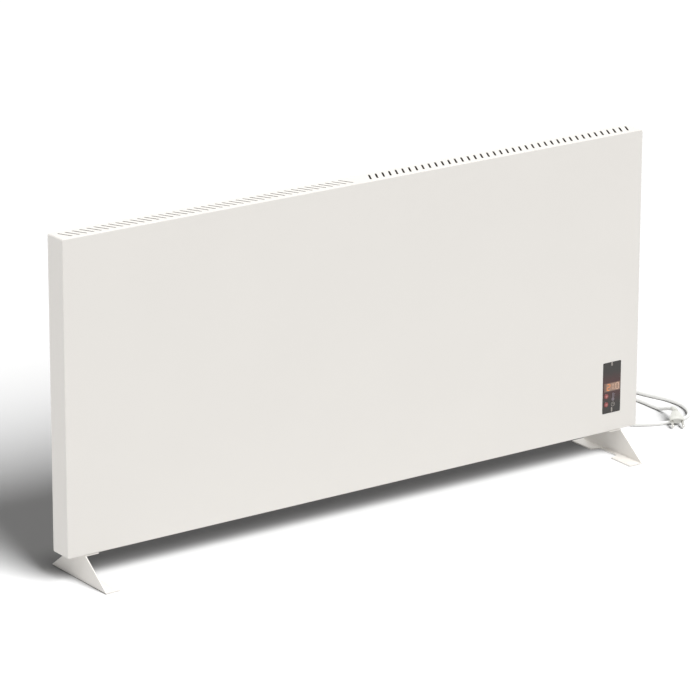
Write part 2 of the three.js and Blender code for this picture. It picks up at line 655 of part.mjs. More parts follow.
function addKeys() {
  const places = { upper: KEY_UPPER_Z, lower: KEY_LOWER_Z };
  for (const [name, z] of Object.entries(places)) {
    piece(`key_${name}`, keyGeometry(), RED_PLASTIC).position.set(KEY_X, PLATE_FRONT - KEY_TRAVEL, z);
    const rear = BOARD_FRONT - GAP;
    piece(`key_switch_${name}`, block(
      about(KEY_X, KEY_SWITCH_WIDTH), [rear - KEY_SWITCH_DEPTH, rear], about(z, KEY_SWITCH_WIDTH),
    ), BLACK_PLASTIC);
  }
}

function addSensor() {
  const tip = SENSOR_RADIUS / 2;
  const sensor = piece('room_sensor', turned([
    [0, 0], [tip, 0], [SENSOR_RADIUS, tip], [SENSOR_RADIUS, SENSOR_LENGTH - SENSOR_COLLAR_HEIGHT],
    [SENSOR_COLLAR_RADIUS, SENSOR_LENGTH - SENSOR_COLLAR_HEIGHT], [SENSOR_COLLAR_RADIUS, SENSOR_LENGTH],
    [0, SENSOR_LENGTH],
  ]), WHITE_CORD);
  sensor.rotation.x = Math.PI / 2;
  sensor.position.set(CONTROL_X + KEY_LEFT, 0, HOUSING_BOTTOM - GAP - SENSOR_LENGTH);
}

// ---------------------------------------------------------------- heating element

/** A bar in Y and Z about a centre, run along the element. */
function elementBar(width, height, y, z, turn) {
  const bar = new THREE.BoxGeometry(ELEMENT_END - ELEMENT_START, width, height);
  bar.rotateX(THREE.MathUtils.degToRad(turn));
  return solid(bar.translate((ELEMENT_START + ELEMENT_END) / 2, y, z + ROD_Z));
}

function addElement() {
  const run = [ELEMENT_START, ELEMENT_END];
  let body = prismX(disc(0, ROD_Z, HUB_RADIUS, SMOOTH_SIDES), run);
  for (const turn of [-FIN_TILT, FIN_TILT]) {
    body = body.add(elementBar(FIN_THICKNESS, FIN_HEIGHT, 0, 0, turn));
  }
  for (const rise of [-2, -1, 1, 2].map((n) => n * FIN_RIB_SPACING)) {
    const lean = Math.abs(rise) * Math.tan(THREE.MathUtils.degToRad(FIN_TILT));
    body = body.add(elementBar(2 * lean + FIN_RIB_REACH, FIN_THICKNESS, 0, rise, 0));
  }
  const bore = prismX(disc(0, ROD_Z, ROD_RADIUS + GAP, SMOOTH_SIDES), [run[0] - PAST, run[1] + PAST]);
  piece('heating_element', body.subtract(bore), ALUMINIUM);
  piece('heater_rod', prismX(disc(0, ROD_Z, ROD_RADIUS, SMOOTH_SIDES), [ROD_START, ROD_END]), STEEL);
}

/** An end bracket on the casing's bottom; inward is 1 where the element lies towards positive x. */
function bracket(name, x, inward) {
  const outer = [x - (inward * BRACKET_SHEET) / 2, x + (inward * BRACKET_SHEET) / 2];
  const upright = [Math.min(...outer), Math.max(...outer)];
  const footEnd = x + inward * BRACKET_FOOT;
  const foot = [Math.min(upright[0], footEnd), Math.max(upright[1], footEnd)];
  const depth = [-BRACKET_HALF_WIDTH, BRACKET_HALF_WIDTH];
  const through = [upright[0] - PAST, upright[1] + PAST];
  const wall = block(upright, depth, [STANDING, ROD_Z + BRACKET_RISE]);
  const hole = prismX(disc(0, ROD_Z, BUSH_RADIUS + GAP, SMOOTH_SIDES), through);
  const notchBase = STANDING + BRACKET_SHEET;
  const notch = block(
    through,
    [depth[0] - PAST, depth[0] + WIRE_NOTCH_WIDTH],
    [notchBase, notchBase + WIRE_NOTCH_HEIGHT],
  );
  const folded = cut(wall, [hole, notch]).add(block(foot, depth, [STANDING, STANDING + BRACKET_SHEET]));
  piece(name, folded, STEEL);
}

/** An insulating bush about the rod, in its bracket, with its collar on the element's side. */
function bush(name, x, inward) {
  const bore = ROD_RADIUS + GAP;
  const back = -BUSH_LENGTH / 2;
  const collar = BRACKET_SHEET / 2 + GAP;
  const profile = [
    [bore, back], [BUSH_RADIUS, back], [BUSH_RADIUS, collar], [BUSH_COLLAR_RADIUS, collar],
    [BUSH_COLLAR_RADIUS, collar + BUSH_COLLAR_HEIGHT], [bore, collar + BUSH_COLLAR_HEIGHT], [bore, back],
  ];
  const mesh = piece(name, turned(profile, SMOOTH_SIDES), CERAMIC);
  mesh.rotation.z = (-inward * Math.PI) / 2;
  mesh.position.set(x, 0, ROD_Z);
}

function addElementMounts() {
  bracket('element_bracket_left', BRACKET_START, 1);
  bracket('element_bracket_right', BRACKET_END, -1);
  bush('rod_bush_left', BRACKET_START, 1);
  bush('rod_bush_right', BRACKET_END, -1);
}

function addShield() {
  const rear = SHIELD_FRONT + SHIELD_SHEET;
  const rise = [ROD_Z - SHIELD_BELOW_ROD, ROD_Z + SHIELD_ABOVE_ROD];
  const ends = [BRACKET_START - BRACKET_SHEET / 2, BRACKET_END + BRACKET_SHEET / 2];
  piece('heat_shield', block(ends, [SHIELD_FRONT, rear], rise), ALUMINIUM);
  const seat = SHIELD_FRONT - GAP;
  const cutout = piece('thermal_cutout', turned([
    [0, 0], [CUTOUT_CAP_RADIUS, 0], [CUTOUT_CAP_RADIUS, CUTOUT_CAP_HEIGHT],
    [CUTOUT_RADIUS, CUTOUT_CAP_HEIGHT], [CUTOUT_RADIUS, CUTOUT_HEIGHT], [0, CUTOUT_HEIGHT],
  ], SMOOTH_SIDES), BLACK_PLASTIC);
  const middle = (ELEMENT_START + ELEMENT_END) / 2;
  cutout.position.set(middle, seat - CUTOUT_HEIGHT, ROD_Z + CUTOUT_ABOVE_ROD);
}

function addStiffeners() {
  const crown = STIFFENER_CROWN / 2;
  const brim = crown + STIFFENER_BRIM;
  const front = INNER_FRONT + GAP;
  const rear = front + STIFFENER_DEPTH;
  const t = STIFFENER_SHEET;
  const half = [
    [brim, front], [brim, front + t], [crown, front + t], [crown, rear],
  ];
  const hollow = [[crown - t, front], [crown - t, rear - t]];
  const outline = [
    ...half, ...half.map(([x, y]) => [-x, y]).reverse(),
    ...hollow.map(([x, y]) => [-x, y]), ...[...hollow].reverse(),
  ].map(([x, y]) => new THREE.Vector2(x, y));
  const rise = [INNER_BASE + STIFFENER_END_GAP, INNER_TOP - STIFFENER_END_GAP];
  const channel = prismZ(new THREE.Shape(outline), rise);
  piece('front_stiffener_left', channel.translate([-STIFFENER_OFFSET, 0, 0]), STEEL);
  piece('front_stiffener_right', channel.translate([STIFFENER_OFFSET, 0, 0]), STEEL);
}

// ---------------------------------------------------------------- wiring

function addTerminals() {
  const wellDepth = [TERMINAL_TOP - TERMINAL_WELL_DEPTH, TERMINAL_TOP + PAST];
  const wells = about(GLAND_X, TERMINAL_WELL_SPACING).map((x) =>
    prismZ(disc(x, TERMINAL_Y, TERMINAL_WELL_RADIUS), wellDepth));
  const body = block(
    about(GLAND_X, TERMINAL_LENGTH), about(TERMINAL_Y, TERMINAL_DEPTH), [STANDING, TERMINAL_TOP],
  );
  piece('terminal_block', cut(body, wells), CERAMIC);
  const head = EARTH_HEIGHT - EARTH_RADIUS;
  const earth = piece('earth_screw', turned([
    [0, 0], [EARTH_RADIUS, 0], [EARTH_RADIUS, head], [EARTH_HEAD_RADIUS, head],
    [EARTH_HEAD_RADIUS, EARTH_HEIGHT], [0, EARTH_HEIGHT],
  ]), STEEL);
  earth.rotation.x = Math.PI / 2;
  earth.position.set(GLAND_X + TERMINAL_LENGTH / 2 + EARTH_FROM_TERMINAL, 0, STANDING);
}

/** An internal lead along points, its ends cut square. */
function wire(name, points, look) {
  const vectors = points.map((p) => new THREE.Vector3(...p));
  const length = vectors.slice(1).reduce((sum, p, i) => sum + p.distanceTo(vectors[i]), 0);
  piece(name, tube(points, WIRE_DIAMETER, WIRE_SIDES, Math.ceil(length / WIRE_STEP)), look);
}

function addWires() {
  const right = GLAND_X + TERMINAL_LENGTH / 2 + GAP;
  const left = GLAND_X - TERMINAL_LENGTH / 2 - GAP;
  const low = STANDING + 6;
  const relayLeft = CONTROL_X - KEY_LEFT / 2 - RELAY_WIDTH / 4;
  const relayRight = relayLeft + RELAY_WIDTH / 2;
  const relayY = BOARD_REAR + GAP + RELAY_DEPTH / 2;
  const relayUnder = RELAY_BOTTOM - GAP;
  wire('lead_live', [
    [right, TERMINAL_Y, low], [right + 14, TERMINAL_Y, low], [relayLeft - 9, relayY - 6, low + 2],
    [relayLeft - 1, relayY - 1, low + 13], [relayLeft, relayY, relayUnder - 12],
    [relayLeft, relayY, relayUnder],
  ], BROWN_WIRE);
  wire('lead_switched', [
    [relayRight, relayY, relayUnder], [relayRight, relayY, relayUnder - 14], [relayRight - 7, 8, low + 10],
    [right + 18, 12, low + 11], [right + 6, 12, low + 24], [ROD_END + 22, 8, ROD_Z - 46],
    [ROD_END + 18, 3, ROD_Z - 14], [ROD_END + 10, 0, ROD_Z - 1], [ROD_END + GAP, 0, ROD_Z],
  ], BROWN_WIRE);
  wire('lead_neutral', [
    [left, TERMINAL_Y, low + 2], [left - 12, TERMINAL_Y, low], [BRACKET_END, TERMINAL_Y, low - 1],
    [BRACKET_END - 60, TERMINAL_Y, low - 1], [BRACKET_START + 60, TERMINAL_Y, low - 1],
    [BRACKET_START, TERMINAL_Y, low - 1], [ROD_START - 12, TERMINAL_Y, low + 8],
    [ROD_START - 22, -6, low + 45], [ROD_START - 20, -1, ROD_Z - 22], [ROD_START - 10, 0, ROD_Z - 1],
    [ROD_START - GAP, 0, ROD_Z],
  ], BLUE_WIRE);
  const earthX = GLAND_X + TERMINAL_LENGTH / 2 + EARTH_FROM_TERMINAL;
  const earthTop = STANDING + EARTH_HEIGHT + GAP;
  wire('lead_earth', [
    [right, TERMINAL_Y + 5, low + 6], [right + 7, TERMINAL_Y + 5, low + 8], [earthX - 3, -4, earthTop + 7],
    [earthX, 0, earthTop + 5], [earthX, 0, earthTop],
  ], EARTH_WIRE);
}

// ---------------------------------------------------------------- mains lead and plug

function addGland() {
  const throughPanel = GLAND_INSIDE - GAP;
  const flange = GLAND_INSIDE + SHEET + GAP;
  const boot = flange + GLAND_FLANGE_HEIGHT;
  const gland = piece('cord_gland', turned([
    [0, 0], [GLAND_RADIUS, 0], [GLAND_RADIUS, throughPanel - GLAND_COLLAR_HEIGHT],
    [GLAND_COLLAR_RADIUS, throughPanel - GLAND_COLLAR_HEIGHT], [GLAND_COLLAR_RADIUS, throughPanel],
    [GLAND_RADIUS, throughPanel], [GLAND_RADIUS, flange], [GLAND_FLANGE_RADIUS, flange],
    [GLAND_FLANGE_RADIUS, boot], [BOOT_ROOT_RADIUS, boot], [BOOT_TIP_RADIUS, boot + BOOT_LENGTH],
    [0, boot + BOOT_LENGTH],
  ], SMOOTH_SIDES), WHITE_CORD);
  gland.position.set(GLAND_X, GLAND_INNER, GLAND_Z);
}

/** The lead's inner end: from the gland in a quarter bend down to the terminal block. */
function addInnerLead() {
  const start = GLAND_INNER - GAP;
  const bend = arc(start - INNER_STRAIGHT, GLAND_Z - INNER_BEND, INNER_BEND, 90, 180, 2 * ROUND_STEPS);
  const points = [
    [GLAND_X, start, GLAND_Z], ...bend.map((p) => [GLAND_X, p.x, p.y]),
    [GLAND_X, TERMINAL_Y, TERMINAL_TOP + GAP],
  ];
  piece('lead_inner_end', tube(points, LEAD_DIAMETER, LEAD_SIDES, 4 * ROUND_STEPS), WHITE_CORD);
}

/** The plug's own frame: pins along +Y, side by side along X, its front face at the origin. */
function plugFrame() {
  const aim = PLUG_AIM.clone().normalize();
  const across = new THREE.Vector3(aim.y, -aim.x, 0).normalize();
  const up = new THREE.Vector3().crossVectors(across, aim);
  return new THREE.Matrix4().makeBasis(across, aim, up).setPosition(PLUG_FACE);
}

/** A point of the plug's bent boot: how far along its middle line it is, and how far off that line. */
function inBoot(along, x = 0, z = 0) {
  const bend = THREE.MathUtils.degToRad(PLUG_BOOT_BEND);
  const lean = THREE.MathUtils.degToRad(PLUG_BOOT_LEAN);
  const radius = PLUG_BOOT_LENGTH / bend;
  const angle = Math.min(along / radius, bend);
  const straight = along - radius * angle;
  const back = new THREE.Vector3(0, -1, 0);
  const side = new THREE.Vector3(Math.sin(lean), 0, -Math.cos(lean));
  const axis = new THREE.Vector3().crossVectors(back, side);
  return new THREE.Vector3(x, 0, z).addScaledVector(back, straight).applyAxisAngle(axis, angle)
    .addScaledVector(back, PLUG_LENGTH + GAP + radius * Math.sin(angle))
    .addScaledVector(side, radius * (1 - Math.cos(angle)));
}

/** The plug's boot: a taper that bends to the floor with the lead. */
function plugBoot() {
  const tip = LEAD_DIAMETER / 2 + 1;
  const rings = Array.from({ length: PLUG_BOOT_STEPS + 1 }, (_, i) => {
    const part = i / PLUG_BOOT_STEPS;
    return [tip + (PLUG_BOOT_ROOT_RADIUS - tip) * part, PLUG_BOOT_LENGTH * part];
  });
  const boot = turned([[0, 0], ...rings, [0, PLUG_BOOT_LENGTH]]);
  const places = boot.attributes.position;
  for (let i = 0; i < places.count; i += 1) {
    const place = inBoot(PLUG_BOOT_LENGTH - places.getY(i), places.getX(i), places.getZ(i));
    places.setXYZ(i, place.x, place.y, place.z);
  }
  boot.computeVertexNormals();
  return boot;
}

function addPlug() {
  const group = new THREE.Group();
  group.applyMatrix4(plugFrame());
  heater.add(group);
  const half = PLUG_WIDTH / 2;
  const tail = PLUG_TAIL_WIDTH / 2;
  const waist = (half + tail) / 2;
  const body = turned([
    [0, -PLUG_LENGTH], [tail, -PLUG_LENGTH], [waist, -PLUG_WAIST], [half, -PLUG_SHOULDER],
    [half, -EDGE_ROUND], [half - EDGE_ROUND, 0], [0, 0],
  ], SMOOTH_SIDES);
  body.scale(1, 1, PLUG_THICKNESS / PLUG_WIDTH);
  piece('plug_body', body, WHITE_CORD, group);
  piece('plug_boot', plugBoot(), WHITE_CORD, group);
  for (const [name, x] of [['left', -PIN_SPACING / 2], ['right', PIN_SPACING / 2]]) {
    const tip = PIN_RADIUS / 2;
    piece(`plug_pin_${name}`, turned([
      [0, GAP], [PIN_RADIUS, GAP], [PIN_RADIUS, PIN_LENGTH - tip], [tip, PIN_LENGTH], [0, PIN_LENGTH],
    ]), NICKEL, group).position.set(x, 0, 0);
  }
}

/** The free lead's points, from the gland's boot down to the floor and round to the plug's boot. */
function leadRoute() {
  const floor = LEAD_DIAMETER / 2 + GAP;
  const tail = [LEAD_STRAIGHT, 0].map((back) =>
    inBoot(PLUG_BOOT_LENGTH + GAP + back).applyMatrix4(plugFrame()).toArray());
  return [
    [GLAND_X, GLAND_TIP + GAP, GLAND_Z], [GLAND_X, 76, GLAND_Z - 0.5], [470, 98, 95], [471, 117, 73],
    [473, 131, 44], [475, 151, 18], [480, 178, 5.4], [490, 212, floor], [508, 256, floor], [542, 292, floor],
    [588, 298, floor], [624, 268, floor], [640, 214, floor], [654, 148, floor], [681, 90, floor],
    [710, 70, floor], [740, 60, floor], [768, 57, floor], [795, 66, floor], [816, 91, floor],
    [827, 126, floor], [825, 164, floor], [812, 206, floor], [800, 262, floor], [794, 312, floor],
    [786, 338, floor], [769, 357, floor], [745, 364, floor], [721, 357, floor], [705, 339, floor],
    [701, 315, floor], [710, 287, floor], [738, 253, floor], [764, 225, floor], [777.5, 196, floor],
    [779.5, 167, floor], [779, 146, floor], [778.6, 131, 4.5], [778.3, 118, 7.1], [777.3, 105.5, 11.6], ...tail,
  ];
}

function addLead() {
  piece('power_cord', tube(leadRoute(), LEAD_DIAMETER, LEAD_SIDES, LEAD_STEPS), WHITE_CORD);
}

// ---------------------------------------------------------------- assembly

addCasing();
addRearPanel();
addRearScrews();
addFeet();
addFaceplate();
addHousing();
addBoard();
addKeys();
addSensor();
addElement();
addElementMounts();
addShield();
addStiffeners();
addTerminals();
addWires();
addGland();
addInnerLead();
addPlug();
addLead();

export default heater;
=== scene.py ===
"""Looks of a flat panel convector heater on two folded feet, over its CAD frame.

Metres throughout. +X runs along the heater to the right, +Y to its rear and +Z up, from the floor
under the middle of the casing.
"""

import json
import logging
import math
from collections.abc import Callable, Iterable
from dataclasses import dataclass
from enum import Enum

import bmesh
import bpy
from mathutils import Matrix, Vector

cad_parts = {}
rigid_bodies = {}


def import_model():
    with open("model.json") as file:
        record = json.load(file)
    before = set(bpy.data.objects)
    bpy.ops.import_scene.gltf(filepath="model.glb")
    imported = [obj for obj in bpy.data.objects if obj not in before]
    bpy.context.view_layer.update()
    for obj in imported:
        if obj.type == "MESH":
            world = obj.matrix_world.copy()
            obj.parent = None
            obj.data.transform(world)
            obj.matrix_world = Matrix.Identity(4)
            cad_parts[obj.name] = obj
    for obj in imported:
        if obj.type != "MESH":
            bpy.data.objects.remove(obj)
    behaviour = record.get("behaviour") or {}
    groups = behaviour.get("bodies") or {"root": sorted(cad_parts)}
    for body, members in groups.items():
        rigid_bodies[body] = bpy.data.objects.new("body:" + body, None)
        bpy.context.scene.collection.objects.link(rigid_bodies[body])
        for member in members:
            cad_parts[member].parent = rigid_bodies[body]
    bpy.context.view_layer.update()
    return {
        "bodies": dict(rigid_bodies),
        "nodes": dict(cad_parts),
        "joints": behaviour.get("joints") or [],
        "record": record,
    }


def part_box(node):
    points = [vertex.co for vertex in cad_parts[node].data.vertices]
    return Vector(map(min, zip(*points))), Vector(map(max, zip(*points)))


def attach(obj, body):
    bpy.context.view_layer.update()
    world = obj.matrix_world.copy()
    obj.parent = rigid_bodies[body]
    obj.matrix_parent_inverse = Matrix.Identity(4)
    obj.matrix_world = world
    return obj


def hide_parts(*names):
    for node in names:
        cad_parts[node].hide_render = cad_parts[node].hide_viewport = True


Colour = tuple[float, float, float]
Point = tuple[float, float, float]
Pair = tuple[float, float]

log = logging.getLogger("heater")


# ---------------------------------------------------------------- named choices


class Body(Enum):
    """The bodies that pieces ride on."""

    HEATER = "heater"
    UPPER_KEY = "key_upper"
    LOWER_KEY = "key_lower"


class Slot(Enum):
    """The record's material slots."""

    ENAMEL = "enamel"
    STEEL = "steel"
    ALUMINIUM = "aluminium"
    CERAMIC = "ceramic"
    DARK_GLOSS = "dark_gloss"
    RED_PLASTIC = "red_plastic"
    DISPLAY = "display"
    BLACK_PLASTIC = "black_plastic"
    BOARD = "board"
    WHITE_CORD = "white_cord"
    NICKEL = "nickel"
    BROWN_WIRE = "brown_wire"
    BLUE_WIRE = "blue_wire"
    EARTH_WIRE = "earth_wire"


class Lines(Enum):
    """The way that drawn lines or tracks run, as scales of a pattern along X, Y and Z."""

    NONE = (1.0, 1.0, 1.0)
    ALONG = (0.02, 1.0, 1.0)
    UPRIGHT = (1.0, 1.0, 0.03)
    TRACKS = (1.0, 1.0, 0.25)


# ---------------------------------------------------------------- shader making


class Tree:
    """A node tree, and the one way that nodes come into it."""

    def __init__(self, tree: bpy.types.NodeTree) -> None:
        """Wraps a node tree."""
        self.tree = tree

    def node(self, kind: str, settings: dict | None = None,
             inputs: dict | None = None) -> bpy.types.Node:
        """Adds a node.

        Args:
            kind: Its type, without the words ShaderNode.
            settings: What is set on it first.
            inputs: What its sockets get, by name or place: numbers, colours or values.

        Returns:
            The node.
        """
        node = self.tree.nodes.new(f"ShaderNode{kind}")
        for key, value in (settings or {}).items():
            setattr(node, key, value)
        for key, value in (inputs or {}).items():
            self.feed(node.inputs[key], value)
        return node

    def feed(self, socket: bpy.types.NodeSocket, value: "Value | float | Point") -> None:
        """Gives a socket a link or a constant.

        Args:
            socket: The input.
            value: A value, a number, a colour or a vector.
        """
        if isinstance(value, Value):
            self.tree.links.new(value.socket, socket)
        elif socket.type == "RGBA":
            socket.default_value = (*value, 1.0)
        else:
            socket.default_value = value


class Value:
    """A shader socket that does sums: an expression on it adds its Math nodes."""

    def __init__(self, tree: Tree, socket: bpy.types.NodeSocket) -> None:
        """Wraps an output socket of a tree's node."""
        self.tree = tree
        self.socket = socket

    def sum_of(self, operation: str, *terms: "Value | float") -> "Value":
        """The outcome of a Math node's operation on one or two terms."""
        node = self.tree.node("Math", {"operation": operation}, dict(enumerate(terms)))
        return Value(self.tree, node.outputs[0])

    def __add__(self, other: "Value | float") -> "Value":
        """The sum."""
        return self.sum_of("ADD", self, other)

    __radd__ = __add__

    def __sub__(self, other: "Value | float") -> "Value":
        """The difference."""
        return self.sum_of("SUBTRACT", self, other)

    def __rsub__(self, other: float) -> "Value":
        """The difference from a number."""
        return self.sum_of("SUBTRACT", other, self)

    def __mul__(self, other: "Value | float") -> "Value":
        """The product."""
        return self.sum_of("MULTIPLY", self, other)

    __rmul__ = __mul__

    def __pow__(self, other: float) -> "Value":
        """The power."""
        return self.sum_of("POWER", self, other)

    def __abs__(self) -> "Value":
        """The size without the sign."""
        return self.sum_of("ABSOLUTE", self)

    def above(self, edge: float, softness: float) -> "Value":
        """One where the value is over an edge, zero under it, soft between.

        Args:
            edge: The middle of the step.
            softness: The step's width.

        Returns:
            The mask.
        """
        node = self.tree.node("MapRange", {"interpolation_type": "SMOOTHSTEP"}, {
            "Value": self, "From Min": edge - softness / 2, "From Max": edge + softness / 2})
        return Value(self.tree, node.outputs["Result"])


@dataclass(frozen=True)
class Pattern:
    """A pattern over a surface.

    Attributes:
        scale: Its blotches or points in a metre.
        detail: The finer layers on top.
        depth: How deep it is where it is a relief.
        lines: The way that it is drawn out.
        cells: True for scattered points, as in moulded grain, in place of noise.
    """

    scale: float
    detail: float = 2.0
    depth: float = 0.0
    lines: Lines = Lines.NONE
    cells: bool = False


class Recipe(Tree):
    """A material in the making, round one Principled shader."""

    def __init__(self, name: str, base: Colour, roughness: float, metallic: float = 0.0,
                 coat: Pair | None = None) -> None:
        """Starts a material.

        Args:
            name: The material's name.
            base: Its plain colour.
            roughness: Its plain roughness.
            metallic: One for bare metal.
            coat: Its clear coat's weight and roughness, if it has one.
        """
        self.material = bpy.data.materials.new(name)
        self.material.use_nodes = True
        self.material.diffuse_color = (*base, 1.0)
        super().__init__(self.material.node_tree)
        self.shader = self.tree.nodes["Principled BSDF"]
        self.give("Base Color", base)
        self.give("Roughness", roughness)
        self.give("Metallic", metallic)
        if coat:
            self.give("Coat Weight", coat[0])
            self.give("Coat Roughness", coat[1])

    def give(self, socket: str, value: Value | float | Colour) -> None:
        """Gives an input of the shader a value or a constant."""
        self.feed(self.shader.inputs[socket], value)

    def place(self, lines: Lines = Lines.NONE) -> Value:
        """Object coordinates, which are metres in the heater's own frame.

        Args:
            lines: The way that a pattern is drawn out.

        Returns:
            The vector.
        """
        where = Value(self, self.node("TexCoord").outputs["Object"])
        if lines is not Lines.NONE:
            drawn = self.node("Mapping", None, {"Vector": where, "Scale": lines.value})
            where = Value(self, drawn.outputs[0])
        return where

    def parts(self) -> tuple[Value, Value, Value]:
        """The three parts of the object coordinates."""
        node = self.node("SeparateXYZ", None, {"Vector": self.place()})
        return tuple(Value(self, node.outputs[i]) for i in range(3))

    def pattern(self, wanted: Pattern) -> Value:
        """A pattern between nought and one.

        Args:
            wanted: What it is like.

        Returns:
            The pattern.
        """
        inputs = {"Vector": self.place(wanted.lines), "Scale": wanted.scale}
        if wanted.cells:
            return Value(self, self.node("TexVoronoi", None, inputs).outputs["Distance"])
        inputs["Detail"] = wanted.detail
        return Value(self, self.node("TexNoise", None, inputs).outputs["Fac"])

    def mix(self, mask: Value, low: Colour, high: Colour) -> Value:
        """The low colour where the mask is nought, and the high one where it is one."""
        node = self.node("Mix", {"data_type": "RGBA"}, {0: mask, 6: low, 7: high})
        return Value(self, node.outputs[2])

    def bump(self, relief: Pattern) -> "Recipe":
        """Adds a bump, over any there is.

        Args:
            relief: Its pattern and depth.

        Returns:
            The same recipe.
        """
        return self.raise_by(self.pattern(relief), relief.depth)

    def raise_by(self, height: Value, depth: float) -> "Recipe":
        """Adds a bump that follows a value, over any there is.

        Args:
            height: The value, from nought to one.
            depth: What one of it is, in metres.

        Returns:
            The same recipe.
        """
        node = self.node("Bump", None, {"Height": height, "Distance": depth})
        normal = self.shader.inputs["Normal"]
        if normal.links:
            self.tree.links.new(normal.links[0].from_socket, node.inputs["Normal"])
        self.tree.links.new(node.outputs[0], normal)
        return self

    def glow(self, colour: Value, strength: float) -> None:
        """Adds light of its own, at a strength of one for white on white."""
        self.give("Emission Color", colour)
        self.give("Emission Strength", strength)


# ---------------------------------------------------------------- finishes


@dataclass(frozen=True)
class EvenFinish:
    """A finish that is alike all over, but for faint clouds in it and the relief of its skin.

    Attributes:
        name: The material's name.
        tone: Its colour.
        tint: The colour that the clouds turn to, or that colour's share of the tone.
        roughness: Its roughness.
        swing: How far the clouds take the roughness each way.
        clouds: The clouds' pattern.
        relief: The patterns of its skin.
        step: The height in the clouds at which the colour turns, and how softly.
        metallic: One for bare metal.
        coat: Its clear coat's weight and roughness, if it has one.
    """

    name: str
    tone: Colour
    tint: Colour | float = 1.0
    roughness: float = 0.5
    swing: float = 0.05
    clouds: Pattern = Pattern(60.0, 3.0)
    relief: tuple[Pattern, ...] = ()
    step: Pair = (0.5, 0.5)
    metallic: float = 0.0
    coat: Pair | None = None

    def make(self) -> bpy.types.Material:
        """Makes the material.

        Returns:
            The material.
        """
        skin = Recipe(self.name, self.tone, self.roughness, self.metallic, self.coat)
        tint = self.tint
        if isinstance(tint, float):
            tint = tuple(part * tint for part in self.tone)
        clouds = skin.pattern(self.clouds)
        skin.give("Base Color", skin.mix(clouds.above(*self.step), self.tone, tint))
        if self.swing:
            skin.give("Roughness", (clouds - 0.5) * (2 * self.swing) + self.roughness)
        for relief in self.relief:
            skin.bump(relief)
        return skin.material


@dataclass(frozen=True)
class PowderCoat(EvenFinish):
    """Satin warm white powder coat, with the fine skin that it bakes to."""

    name: str = "powder coat"
    tone: Colour = (0.812, 0.786, 0.746)
    tint: Colour | float = 0.988
    roughness: float = 0.46
    swing: float = 0.03
    clouds: Pattern = Pattern(5.0, 3.0)
    relief: tuple[Pattern, ...] = (Pattern(900.0, 1.5, 0.000012), Pattern(42.0, 1.0, 0.00002))
    coat: Pair | None = (0.12, 0.3)


@dataclass(frozen=True)
class ZincPlate(EvenFinish):
    """Bright zinc plate, with the faint clouds of its passivation."""

    name: str = "zinc plate"
    tone: Colour = (0.58, 0.60, 0.62)
    tint: Colour | float = (0.6032, 0.60, 0.5766)
    roughness: float = 0.33
    swing: float = 0.07
    clouds: Pattern = Pattern(70.0, 4.0)
    relief: tuple[Pattern, ...] = (Pattern(2400.0, 2.0, 0.000006),)
    metallic: float = 1.0


@dataclass(frozen=True)
class DrawnAluminium(EvenFinish):
    """Plain extruded aluminium, with die lines along its length."""

    name: str = "drawn aluminium"
    tone: Colour = (0.70, 0.71, 0.72)
    tint: Colour | float = 0.86
    roughness: float = 0.38
    swing: float = 0.1
    clouds: Pattern = Pattern(1500.0, 2.0, 0.0, Lines.ALONG)
    relief: tuple[Pattern, ...] = (Pattern(1500.0, 2.0, 0.00002, Lines.ALONG),)
    metallic: float = 1.0


@dataclass(frozen=True)
class FiredCeramic(EvenFinish):
    """Unglazed steatite, fine and chalky."""

    name: str = "fired ceramic"
    tone: Colour = (0.72, 0.68, 0.58)
    tint: Colour | float = (0.64, 0.59, 0.49)
    roughness: float = 0.72
    swing: float = 0.08
    clouds: Pattern = Pattern(160.0, 4.0)
    relief: tuple[Pattern, ...] = (Pattern(2600.0, 2.0, 0.00002),)


@dataclass(frozen=True)
class BrightNickel(EvenFinish):
    """Bright nickel with light rubbing."""

    name: str = "nickel"
    tone: Colour = (0.72, 0.71, 0.67)
    tint: Colour | float = (0.68, 0.665, 0.62)
    roughness: float = 0.2
    swing: float = 0.04
    clouds: Pattern = Pattern(500.0, 3.0)
    relief: tuple[Pattern, ...] = (Pattern(500.0, 3.0, 0.000001),)
    metallic: float = 1.0


@dataclass(frozen=True)
class MouldedPlastic(EvenFinish):
    """Moulded plastic with a spark-eroded grain."""

    name: str = "black moulding"
    tone: Colour = (0.028, 0.028, 0.027)
    tint: Colour | float = 0.94
    relief: tuple[Pattern, ...] = (Pattern(1500.0, depth=0.00002, cells=True),)


@dataclass(frozen=True)
class CordSheath(EvenFinish):
    """White PVC, smooth, with the faint rise of the twisted cores under it."""

    name: str = "cord sheath"
    tone: Colour = (0.86, 0.86, 0.835)
    tint: Colour | float = 0.95
    roughness: float = 0.38
    clouds: Pattern = Pattern(90.0, 3.0)
    relief: tuple[Pattern, ...] = (Pattern(1100.0, 2.0, 0.00001),)
    coat: Pair | None = (0.15, 0.25)


@dataclass(frozen=True)
class PrintedInk(EvenFinish):
    """Screen printing, slightly uneven."""

    name: str = "pale print"
    tone: Colour = (0.36, 0.33, 0.30)
    tint: Colour | float = 0.8
    roughness: float = 0.4
    swing: float = 0.08
    clouds: Pattern = Pattern(900.0, 3.0)
    relief: tuple[Pattern, ...] = (Pattern(5000.0, 1.0, 0.000004),)


@dataclass(frozen=True)
class Insulation(EvenFinish):
    """The insulation of one inner lead. The earth lead's is in bands of two colours."""

    tint: Colour | float = 0.85
    roughness: float = 0.42
    clouds: Pattern = Pattern(120.0, 2.0)
    relief: tuple[Pattern, ...] = (Pattern(1600.0, 1.0, 0.00001),)


